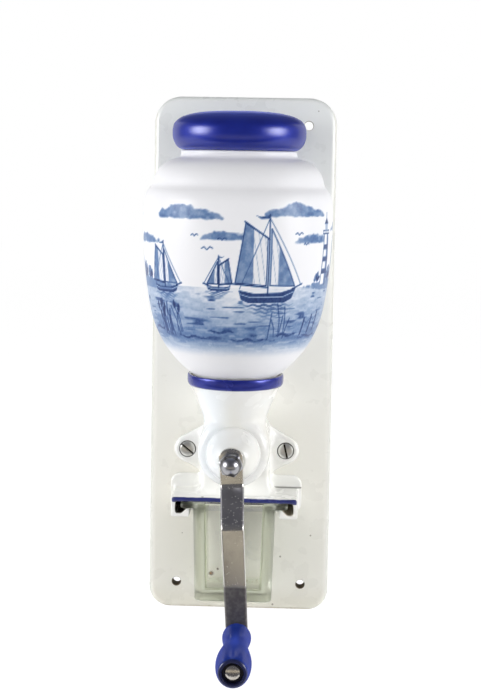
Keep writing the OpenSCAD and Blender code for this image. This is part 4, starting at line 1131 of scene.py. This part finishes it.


# %% [markdown]
# Fired enamel is never one white: it is creamy where it lies thick and has small pits. Noise with a
# slow scale gives the patches, and scattered points give the pits. A cooler tint on one flank and a
# lighter top of the shelf are painted light.

# %% Enamel
def enamel(name, painted):
    """White with creamy patches, pits and a cool flank of painted light; the casting adds painted light on
    the shelf, blue lines, marks and painted shade.
    """
    paint = Paint(name, Roughness=0.2, Coat_Weight=0.2, Coat_Roughness=0.06, Specular_IOR_Level=0.5)
    x, _, z = paint.axes()
    cream = paint.noise(38.0, 2.0).rise(0.35, 0.7)
    base = paint.blend(cream, tint(236, 236, 234), tint(232, 231, 225))
    # Painted light: a cooler tint on the left flank of the casting, below the shaft.
    painted_cool_light = x.rise(0.0, -0.016) * x.rise(-0.027, -0.022) * z.rise(-0.085, -0.06)
    base = paint.blend(painted_cool_light, base, tint(234, 238, 241))
    pits = (0.05 - paint.cells(420.0)).rise(0.0, 0.03) * paint.noise(26.0).rise(0.6, 0.7)
    base = paint.blend(pits * 0.6, base, tint(120, 112, 98))
    if painted:
        # Painted light: the top of the shelf is lighter.
        painted_light_ledge = z.rise((SHELF_Z - 0.9) * MM, (SHELF_Z - 0.1) * MM)
        painted_light_ledge = painted_light_ledge * z.rise((SHELF_Z + 13) * MM, (SHELF_Z + 9) * MM)
        base = paint.blend(painted_light_ledge, base, tint(244, 244, 240))
        base = marks_and_painted_shade(paint, blue_lines(paint, base))
    paint.feed("Base Color", base)
    paint.feed("Roughness", 0.2 + 0.12 * paint.noise(85.0))
    paint.relief(paint.noise(70.0, 1.0) * 0.7 + 0.3 * paint.noise(240.0, 1.0), 0.0003)
    return paint


cover(casting, enamel("casting_enamel", True))

# %% [markdown]
# ## The bearing cap
# A domed cap closes the drum and carries the front bush. It is lathe work: an elliptic dome with a
# flat nose, a bore for the bush, and a plug that sits in the drum. Its rim is eased, so a thin line
# shows where it meets the drum.

# %% Bearing cap
DRUM_D, CAP_R, CAP_H, NOSE_R, CHAMBER_R, CAP_PLUG = 65.0, 17.0, 22.0, 8.5, 15.0, 6.5
BUSH_R, POCKET_R, BUSH_L = 6.55, 9.5, 13.0
nose_d = DRUM_D + CAP_H
dome_h = CAP_H / math.sqrt(1 - (NOSE_R / CAP_R) ** 2)
dome = arc((0, DRUM_D), (CAP_R, dome_h), 0, math.degrees(math.asin(CAP_H / dome_h)), 60)
dome = evened(np.concatenate([[[CHAMBER_R, DRUM_D]], dome, [[BUSH_R + 0.1, nose_d]]]), 0.35, 0.5)
cap_profile = np.concatenate([
    dome,
    [[BUSH_R, nose_d - 0.1], [BUSH_R, nose_d - BUSH_L], [POCKET_R, nose_d - BUSH_L]],
    [[POCKET_R, DRUM_D - CAP_PLUG], [CHAMBER_R - 0.02, DRUM_D - CAP_PLUG]],
])
shaft_origin = np.array([AXIS_X, FRONT_Y, SHAFT_Z])
points, faces = turned(cap_profile, shaft_origin, OUT, 128)
cap = make_piece("bearing_cap", points, faces, "mill", ["front_cap"])
cover(cap, enamel("cap_enamel", False))

# %% [markdown]
# ## The crank
# The crank is a flat steel bar, bent forward below the hub so that the grip clears the jar. A
# cross section with eased corners is carried along the bent middle line; its width narrows
# slowly and closes to a half circle at both ends.

# %% Middle line of the crank
LEAN = math.radians(3.3)
HUB_D, BAR_T, HUB_W, ARM_W, HUB_END, HUB_END_R, CRANK_R = 91.6, 3.0, 14.5, 13.0, 9.2, 8.2, 100.0
JOGGLE, JOGGLE_START, JOGGLE_A, BEND_R, EASE = 17.5, 12.0, 40.0, 6.0, 1.25
slope = math.radians(JOGGLE_A)
joggle_l = 2 * BEND_R * math.sin(slope) + (JOGGLE - 2 * BEND_R * (1 - math.cos(slope))) / math.tan(slope)
bar_end = CRANK_R + ARM_W / 2
first_bend = arc((JOGGLE_START, BEND_R), (BEND_R, BEND_R), -90, -90 + JOGGLE_A, 14)
second_bend = arc((JOGGLE_START + joggle_l, JOGGLE - BEND_R), (BEND_R, BEND_R), 90 + JOGGLE_A, 90, 14)
bar_line = np.concatenate([[[-HUB_END, 0.0]], first_bend, second_bend, [[bar_end, JOGGLE]]])
run = np.r_[0, np.cumsum(np.hypot(*np.diff(bar_line, axis=0).T))]
quarter = 1 - np.cos(np.linspace(0, np.pi / 2, 14))
straight = np.linspace(run[14], run[-1] - ARM_W / 2, 24)
places = np.r_[quarter * HUB_END_R, run[1:-1], straight, run[-1] - quarter * ARM_W / 2]
places = np.unique(np.round(places, 5))
down = np.interp(places, run, bar_line[:, 0])
forth = np.interp(places, run, bar_line[:, 1])
tilt = np.gradient(forth, places)
half_w = np.interp(places, [0, run[-1]], [HUB_W / 2, ARM_W / 2])
for ends, radius in ((places, HUB_END_R), (run[-1] - places, ARM_W / 2)):
    inset = np.clip(1 - ends / radius, 0, 1)
    half_w = np.minimum(half_w, np.where(inset > 0, radius * np.sqrt(1 - inset ** 2), half_w))
half_w = np.maximum(half_w, 0.02)
print("the bar is", round(float(run[-1]), 1), "mm long along its bends, with", len(places), "rings")

# %% [markdown]
# A ring stands square to the middle line, so in the bend its thickness leans with the slope. The
# eased corners are smaller at the hub, where the bar lies flat under the nut.

# %% Crank bar
half_t = BAR_T / 2
cut = np.minimum(EASE * np.clip(places / 14, 0.3, 1), 0.6 * half_w)
across, thick = round_rect_ring(half_w, half_t, cut, 6)
steep = np.clip(tilt, -1, 1)
level = np.sqrt(1 - steep ** 2)
drop = down[:, None] - thick * steep[:, None]
ahead = HUB_D + half_t + forth[:, None] + thick * level[:, None]
crank_right = math.cos(LEAN) * RIGHT + math.sin(LEAN) * UP
crank_down = math.sin(LEAN) * RIGHT - math.cos(LEAN) * UP
bar_points = shaft_origin + across[..., None] * crank_right + drop[..., None] * crank_down
bar_points = (bar_points + ahead[..., None] * OUT).reshape(-1, 3)
bar_faces = capped_grid(*across.shape)
bar = make_piece("crank_bar", bar_points, bar_faces, "crank", ["crank_arm"], sharp=35.0)

# %% [markdown]
# ### Plated steel
# Nickel plate is polished along the bar and wears to pinholes, rust spots and dull patches. Each
# steel piece could have its own finish, but one function with two tones and a shine serves them
# all. The bar gets two darker, rougher zones on top, at its bend and at its lower end, with masks by
# height; their dark colour is a painted reflection.

# %% Plated steel
BEND_TOP, BEND_LOW, DARK_END = -64.5, -89.0, -120.5


def steel(name, light, dark, shine, wear_and_dark_reflection=0.3):
    """Plated steel: long polishing lines, pinhole rust and dull patches."""
    paint = Paint(name, Metallic=1.0, Roughness=shine)
    patch = paint.noise(60.0, 4.0, 0.6).rise(0.35, 0.7)
    colour = paint.blend(patch, light, dark)
    pits = (0.16 - paint.cells(650.0)).rise(0.0, 0.08) * paint.noise(55.0).rise(0.42, 0.6)
    colour = paint.blend(pits * wear_and_dark_reflection, colour, tint(238, 236, 230))
    rust = (0.16 - paint.cells(400.0)).rise(0.0, 0.08) * paint.noise(48.0, 3.0).rise(0.45, 0.6)
    paint.feed("Base Color", paint.blend(rust * wear_and_dark_reflection, colour, tint(70, 48, 32)))
    paint.feed("Roughness", shine + 0.06 * patch + 0.2 * pits)
    paint.relief(paint.noise(500.0, 2.0, stretch=(1.0, 1.0, 0.08)), 0.00003)
    return paint


bar_steel = steel("bar_steel", tint(208, 206, 201), tint(192, 189, 182), 0.22, 0.6)
# The bend is darker, with bright specks: a painted dark reflection, on plating that is rougher there.
bend_z = bar_steel.axes()[2]
bend = bend_z.rise(BEND_TOP * MM, (BEND_TOP - 3) * MM) * bend_z.rise(BEND_LOW * MM, (BEND_LOW + 5) * MM)
plated = bar_steel.fed("Base Color")
sparks = (0.24 - bar_steel.cells(560.0)).rise(0.0, 0.08)
painted_dark_bend = bar_steel.blend(sparks, tint(146, 145, 148), tint(240, 238, 234))
# Painted dark reflection at the lower end, with a ragged border and a rougher, less metallic surface.
ragged_z = bend_z + (bar_steel.noise(160.0, 3.0) - 0.5) * 0.0012
low = ragged_z.rise(DARK_END * MM, (DARK_END - 3) * MM)
wear_and_dark_reflection = bar_steel.blend(bar_steel.noise(420.0, 3.0).rise(0.35, 0.7), tint(88, 86, 89), tint(112, 109, 110))
plated = bar_steel.blend(low * 0.95, plated, wear_and_dark_reflection)
bar_steel.feed("Base Color", bar_steel.blend(bend, plated, painted_dark_bend))
bar_steel.feed("Roughness", bar_steel.fed("Roughness") + 0.2 * bend + 0.22 * low)
bar_steel.feed("Metallic", 1.0 - 0.2 * low)
cover(bar, bar_steel)

# %% [markdown]
# ## The cap nut
# A cap nut is a hexagon with chamfered corners and a dome. In each ring the radius is the lower of
# the hexagon's and a circle's, and the circle shrinks towards the top to cut the chamfer.

# %% Cap nut
NUT_D, NUT_FLATS, NUT_H, DOME_H, NUT_TURN = HUB_D + BAR_T, 13.0, 6.5, 6.0, math.radians(14.5)
corner_r = NUT_FLATS / 2 / math.cos(math.radians(30))
DOME_R = NUT_FLATS / 2 - 0.5
nut_line = np.concatenate([
    [[0.0, 0.0], [corner_r - 0.7, 0.0], [corner_r, 0.4]], [[corner_r, NUT_H - 0.9]],
    [[DOME_R + 0.25, NUT_H]], arc((0, NUT_H), (DOME_R, DOME_H), 4, 90, 30),
])
nut_turn = np.linspace(0, 2 * np.pi, 120, endpoint=False)
hexagon = NUT_FLATS / 2 / np.cos((nut_turn + NUT_TURN) % (np.pi / 3) - np.pi / 6)
reach = np.minimum(nut_line[:, :1], hexagon[None, :])
spoke = np.cos(nut_turn)[:, None] * crank_right + np.sin(nut_turn)[:, None] * -crank_down
nut_points = shaft_origin + reach[..., None] * spoke + ((NUT_D + nut_line[:, 1:]) * OUT)[:, None, :]
nut_points = nut_points.reshape(-1, 3)
nut_faces = grid_quads(len(nut_line), len(nut_turn))
nut = make_piece("cap_nut_plated", nut_points, nut_faces, "crank", ["cap_nut"], sharp=24.0)
nut_plate = steel("nut_plate", tint(168, 168, 172), tint(156, 156, 160), 0.28, 0.2)
plated = nut_plate.fed("Base Color")
# Painted shade and dark reflection: a dark ring round the foot of the dome.
dark_ring = nut_plate.ring(AXIS_X, SHAFT_Z, DOME_R - 0.6, DOME_R + 0.2)
nut_plate.feed("Base Color", nut_plate.blend(dark_ring * 0.85, plated, tint(62, 58, 54)))
cover(nut, nut_plate)

# %% [markdown]
# ## The grip
# The grip is turned from wood: a rounded rim next to the crank, a slow waist, and a long swell for
# the hand. It spins on a spindle whose head lies in a recess at its end. Half waves of a cosine
# carry the radius from rim to waist and from waist to swell.

# %% Grip
KNOB_D, KNOB_L, RIM_R, RIM_EDGE, WAIST_L, WAIST_R = 113.4, 62.0, 8.6, 1.3, 16.0, 7.1
SWELL_R, SWELL_END, TIP_R, RECESS_R, RECESS, SPINDLE_R = 10.2, 15.0, 7.3, 6.2, 3.5, 3.05
swell_h = KNOB_L - SWELL_END


def eased_line(start, end, count):
    """Radius that follows half a cosine wave between two points of radius and height."""
    share = np.linspace(0, 1, count)
    wave = (1 - np.cos(np.pi * share)) / 2
    return np.stack([start[0] + (end[0] - start[0]) * wave, start[1] + (end[1] - start[1]) * share], axis=-1)


grip_line = np.concatenate([
    [[SPINDLE_R + 0.6, 0.0]], arc((RIM_R - RIM_EDGE, RIM_EDGE), (RIM_EDGE, RIM_EDGE), -90, 0, 12),
    eased_line((RIM_R, RIM_EDGE), (WAIST_R, WAIST_L), 24),
    eased_line((WAIST_R, WAIST_L), (SWELL_R, swell_h), 40),
    arc((TIP_R, swell_h), (SWELL_R - TIP_R, SWELL_END), 5, 90, 26), [[RECESS_R + 0.2, KNOB_L]],
])
grip_profile = np.concatenate([
    evened(grip_line, 0.4, 0.4),
    [[RECESS_R, KNOB_L - 0.3], [RECESS_R, KNOB_L - RECESS], [SPINDLE_R, KNOB_L - RECESS], [SPINDLE_R, 0.3]],
])
knob_origin = shaft_origin + CRANK_R * crank_down
points, faces = turned(grip_profile, knob_origin + KNOB_D * OUT, OUT, 112)
grip = make_piece("turned_grip", points, faces, "knob", ["crank_knob"])
grip_paint = lacquer("grip_lacquer", OUT, 0.9, 0.9, tint(8, 46, 140), tint(12, 52, 152))
end_y = FRONT_Y - KNOB_D - KNOB_L
# Painted shade: the end face and the recess round the spindle's head are dark, with a painted dark reflection
# on the end face.
end_shade = grip_paint.axes()[1].rise((end_y + 1.6) * MM, (end_y + 0.3) * MM)
handled = grip_paint.fed("Base Color")
from_spindle = grip_paint.off_axis(knob_origin[0], knob_origin[2])
recess = from_spindle.rise((RECESS_R + 0.4) * MM, (RECESS_R + 0.1) * MM)
dark_end = (end_shade * 0.85).higher(recess)
grip_paint.feed("Base Color", grip_paint.blend(dark_end, handled, tint(30, 30, 46)))
cover(grip, grip_paint)

# %% [markdown]
# ## The glass cup
# The cup is pressed glass with thick walls, hung by two side flanges in the runners. Its cross
# section is a rectangle with round corners everywhere, so rings of that outline are stacked from
# the outer floor, up the wall, over the flange and the rim, and down inside.

# %% Rings of the cup
CUP_W, CUP_DEPTH, CUP_H, CUP_DRAFT, CUP_WALL, CUP_FLOOR, CUP_CORNER = 53.4, 33.5, 65.0, 1.7, 5.3, 6.0, 5.0
FLANGE_T, FLANGE_W = 3.2, 8.0
cup_low, cup_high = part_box("glass_cup")
cup_origin = np.array([AXIS_X, (cup_low.y + cup_high.y) / 2 / MM, cup_low.z / MM])


def cup_path():
    """Rows of (half width, half depth, corner radius, height) from the outer floor to the inner floor."""
    outer_w, outer_d = CUP_W / 2, CUP_DEPTH / 2
    flange_h = CUP_H - FLANGE_T

    def draft(h):
        """How far the outer wall is drawn in: by nothing at the rim and by the whole draft at the floor."""
        return CUP_DRAFT * (1 - h / CUP_H)

    rows = [(1.0, 0.6, 0.5, 0.0)]
    for a in np.radians(np.linspace(0, 90, 7)):
        h = 2.0 * (1 - math.cos(a))
        pull = 2.0 * (1 - math.sin(a)) + draft(h)
        rows.append((outer_w - pull, outer_d - pull, max(CUP_CORNER - 0.5 * pull, 1.0), h))
    for h in np.linspace(3, flange_h - 2.0, 8):
        rows.append((outer_w - draft(h), outer_d - draft(h), CUP_CORNER, h))
    for a in np.radians(np.linspace(0, 90, 7)):
        h = flange_h - 0.4 * (1 - math.sin(a))
        grow = 0.4 * (1 - math.cos(a))
        rows.append((outer_w + grow, outer_d - draft(h), CUP_CORNER - 2.0 * math.sin(a), h))
    flange = [
        (FLANGE_W - 0.8, flange_h), (FLANGE_W - 0.2, flange_h + 0.25), (FLANGE_W, flange_h + 0.8),
        (FLANGE_W, CUP_H - 0.9), (FLANGE_W - 0.3, CUP_H - 0.25), (FLANGE_W - 0.9, CUP_H),
    ]
    for grow, h in flange:
        inset = 0.0 if h < CUP_H - 0.5 else (0.25 if h < CUP_H else 0.8)
        rows.append((outer_w + grow, outer_d - inset, CUP_CORNER / 2, h))
    inner_w, inner_d, inner_r = outer_w - CUP_WALL, outer_d - CUP_WALL, CUP_CORNER - CUP_WALL / 2
    for a in np.radians(np.linspace(90, 0, 6)):
        grow = 1.4 * (1 - math.cos(a))
        rows.append((inner_w + grow, inner_d + grow, inner_r + grow, CUP_H - 1.4 * (1 - math.sin(a))))
    for h in np.linspace(CUP_H - 4, CUP_FLOOR + 2, 8):
        pull = CUP_DRAFT * (1 - (h - CUP_FLOOR) / CUP_H)
        rows.append((inner_w - pull, inner_d - pull, inner_r, h))
    for a in np.radians(np.linspace(0, 90, 8)):
        pull = CUP_DRAFT + 1.2 * (1 - math.cos(a))
        h = CUP_FLOOR + 1.2 * (1 - math.sin(a))
        rows.append((inner_w - pull, inner_d - pull, max(inner_r - 0.3 * pull, 0.6), h))
    rows.append((1.0, 0.6, 0.5, CUP_FLOOR))
    return np.array(rows)


# %% [markdown]
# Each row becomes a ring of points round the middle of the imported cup, and the first and the last ring
# close the floor outside and inside.

# %% Glass cup
cup_rows = cup_path()
ring_x, ring_y = round_rect_ring(cup_rows[:, 0], cup_rows[:, 1], cup_rows[:, 2], 9)
ring_z = np.broadcast_to(cup_rows[:, 3:], ring_x.shape)
cup_points = cup_origin + np.stack([ring_x, ring_y, ring_z], axis=-1).reshape(-1, 3)
cup_faces = capped_grid(*ring_x.shape)
cup = make_piece("pressed_glass_cup", cup_points, cup_faces, "cup", ["glass_cup"], sharp=60.0)

# %% [markdown]
# ### Glass
# Thick pressed glass is faintly green, and its faces are a little uneven. A tinted transparent sheet
# would be quicker to render, but it would not bend what lies behind. So the cup is a closed solid
# that refracts and soaks up a little light, with a deeper tint where walls and floor are thick,
# and with coffee dust and stains as masks. Where the inner walls turn into the floor the glass is
# darker and rougher; the darker colour there is painted shade over a highlight.

# %% Glass
glass = Paint("cup_glass", Roughness=0.03, IOR=1.46, Transmission_Weight=1.0)
stain = glass.near(AXIS_X - 15.2, FRONT_Y - 9.4, -143.8, 2.2)
stain = stain.higher(glass.near(AXIS_X - 10.9, FRONT_Y - 9.4, -140.8, 1.2))
gx, gy, gz = glass.axes()
floor_z, cup_top = cup_low.z, cup_high.z
back_y = cup_high.y - (CUP_WALL + CUP_DRAFT) * MM
dust = gz.rise(floor_z + (CUP_FLOOR + 3.4) * MM, floor_z + (CUP_FLOOR + 2.0) * MM)
dust = dust * gz.rise(floor_z + (CUP_FLOOR + 0.4) * MM, floor_z + (CUP_FLOOR + 1.4) * MM)
dust = dust * (gy - back_y).size().rise(0.0012, 0.0006) * glass.noise(420.0, 3.0).rise(0.5, 0.62)
inner_w = (CUP_W / 2 - CUP_WALL) * MM - (cup_top - gz) * (CUP_DRAFT / CUP_H)
inward = (gx - AXIS_X * MM).size() - inner_w
thick = inward.rise(0.0, 0.0005)
thick = thick.higher(gz.rise(floor_z + (CUP_FLOOR + 0.6) * MM, floor_z + CUP_FLOOR * MM))
# Painted shade: darker where the inner walls meet the floor, which tones down a highlight there.
low_corner = gz.rise(floor_z + (CUP_FLOOR + 3.2) * MM, floor_z + (CUP_FLOOR + 2.2) * MM)
corners = inward.rise(-0.0032, -0.0022).higher(low_corner)
clear = glass.blend(corners, (1.0, 1.0, 0.985, 1.0), (0.8, 0.83, 0.72, 1.0))
clear = glass.blend(thick, clear, (0.77, 0.79, 0.7, 1.0))
clear = glass.blend(dust * 0.6, clear, tint(150, 128, 98))
glass.feed("Base Color", glass.blend(stain, clear, tint(84, 50, 28)))
glass.feed("Roughness", 0.03 + 0.25 * corners)
glass.relief(glass.noise(45.0, 2.0), 0.0006)
soak = glass.tree.nodes.new("ShaderNodeVolumeAbsorption")
soak.inputs["Color"].default_value = (0.74, 0.8, 0.68, 1.0)
soak.inputs["Density"].default_value = 1.5
glass_out = first_node(glass.tree, "OUTPUT_MATERIAL")
glass.tree.links.new(soak.outputs[0], glass_out.inputs["Volume"])
cover(cup, glass)

# %% [markdown]
# ## The board and the small parts
# The board, the screws and the works inside keep their solids. The board's paint is a brushed
# cream gloss with a few specks and a worn lower edge.

# %% Board paint
board = Paint("board_paint", Roughness=0.2, Coat_Weight=0.2, Coat_Roughness=0.1, Specular_IOR_Level=0.5)
HOLE_X, HOLE_Z, HOLE_R = 41.5, 153.0, 3.0
BOARD_HALF_W, BOARD_LOW = 60.0, -171.0
bx, _, bz = board.axes()
drift = board.noise(9.0, 3.0)
cream = board.blend(drift.rise(0.3, 0.7), tint(245, 244, 236), tint(242, 240, 231))
# Cooler and then greyer towards the top, which is painted shade; warmer at the lower edge
cream = board.blend(bz.rise(-0.12, 0.17) * 0.85, cream, tint(237, 240, 241))
cream = board.blend(bz.rise(0.1, 0.165) * 0.7, cream, tint(228, 231, 230))
cream = board.blend(bz.rise((BOARD_LOW + 21) * MM, BOARD_LOW * MM) * 0.6, cream, tint(228, 224, 206))
dots = (0.045 - board.cells(240.0)).rise(0.0, 0.02) * board.noise(14.0).rise(0.6, 0.7)
specks = [
    (27.9, -134.5, 0.9), (47.9, -119.7, 0.8), (23.3, -167.3, 0.9), (47.7, 162.6, 0.6), (-38.0, -120.0, 0.5),
]
for x, z, size in specks:
    dots = dots.higher(board.near(x, FRONT_Y, z, size))
cream = board.blend(dots * 0.75, cream, tint(110, 100, 84))
ragged_z = bz + (board.noise(130.0, 4.0) - 0.5) * 0.002
wear = ragged_z.rise((BOARD_LOW + 2.2) * MM, (BOARD_LOW + 0.4) * MM)
cream = board.blend(wear * 0.8, cream, tint(176, 160, 126))
# Painted shade: darker over the rounded side edges.
rim = bx.size().rise((BOARD_HALF_W - 3.8) * MM, (BOARD_HALF_W - 0.8) * MM)
cream = board.blend(rim, cream, tint(217, 217, 210))
# The hole walls are brown: bare wood with painted shade.
holes = []
for x in (-HOLE_X, HOLE_X):
    for z in (-HOLE_Z, HOLE_Z):
        holes.append(board.off_axis(x, z).rise((HOLE_R + 0.3) * MM, (HOLE_R + 0.05) * MM))
hole = holes[0].higher(holes[1]).higher(holes[2]).higher(holes[3])
board.feed("Base Color", board.blend(hole * 0.95, cream, tint(118, 104, 78)))
board.feed("Coat Weight", 0.2 - 0.2 * hole)
board.feed("Roughness", 0.25 + 0.06 * board.noise(60.0, 3.0) + 0.6 * hole)
board.relief(board.noise(30.0, 2.0, stretch=(1.0, 1.0, 0.3)) * 0.7 + 0.3 * board.noise(300.0, 1.0), 0.0001)
dress("back_board", board, sharp=25.0)

# %% [markdown]
# ### Screws and shaft
# Screws, spindle and shaft are plated like the crank, only brighter or duller. The slots of the
# screw heads are dark with painted shade: the solid has the slot, and a dark stripe lies along each
# slot, at the angle at which that screw stopped.

# %% Screws and shaft
screw_steel = steel("screw_steel", tint(222, 218, 212), tint(184, 178, 170), 0.18, 0.9)
for node in ("hopper_screw", "knob_spindle", "knob_washer"):
    dress(node, screw_steel)

head_steel = steel("head_steel", tint(226, 226, 222), tint(206, 205, 200), 0.3, 0.3)
plain = head_steel.fed("Base Color")
hx, _, hz = head_steel.axes()
# Painted shade: a dark stripe along each screw's slot.
for side, slant in ((-1, -39.0), (1, -77.0)):
    square_to = math.radians(slant + 90)
    run_x = (hx - (AXIS_X + side * EAR_X) * MM) * math.cos(square_to)
    run_z = (hz - (SHAFT_Z - EAR_DROP) * MM) * math.sin(square_to)
    cut = (run_x + run_z).size().rise(0.0007, 0.0005) * (hx * side).rise(-0.001, 0.001)
    plain = head_steel.blend(cut, plain, tint(44, 40, 36))
head_steel.feed("Base Color", plain)
dress("body_screws", head_steel)
for node in ("drive_shaft", "drive_pins", "thrust_washer", "thrust_spring", "adjusting_nut"):
    dress(node, bar_steel)


# %% [markdown]
# ### Works inside
# The burrs, bushes, gasket and washers hardly show. They could go without a finish, but a look into
# the throat or under the shelf finds them, so each gets two tones of its own material in a fine
# grain.

# %% Works inside
def plain_works(name, light, dark, metallic, rough, grain, depth):
    """A quiet material for what sits inside: two tones of one colour in a grain, with its relief."""
    paint = Paint(name, Metallic=metallic, Roughness=rough)
    speckle = paint.noise(grain, 4.0, 0.6)
    paint.feed("Base Color", paint.blend(speckle.rise(0.3, 0.7), light, dark))
    paint.feed("Roughness", rough - 0.08 + 0.16 * speckle)
    paint.relief(speckle, depth)
    return paint


bronze = plain_works("bush_bronze", tint(196, 150, 84), tint(150, 106, 56), 1.0, 0.34, 220.0, 0.00005)
iron = plain_works("burr_iron", tint(92, 88, 84), tint(58, 55, 52), 0.9, 0.48, 420.0, 0.0002)
cork = plain_works("gasket_cork", tint(186, 140, 92), tint(128, 86, 48), 0.0, 0.85, 700.0, 0.0004)
fibre = plain_works("washer_fibre", tint(128, 52, 34), tint(98, 36, 24), 0.0, 0.6, 900.0, 0.0001)
works = {
    "front_bush": bronze, "rear_bush": bronze, "outer_burr": iron, "inner_burr": iron,
    "feed_screw": iron, "hopper_gasket": cork, "hopper_washer": fibre,
}
for node, paint in works.items():
    dress(node, paint)
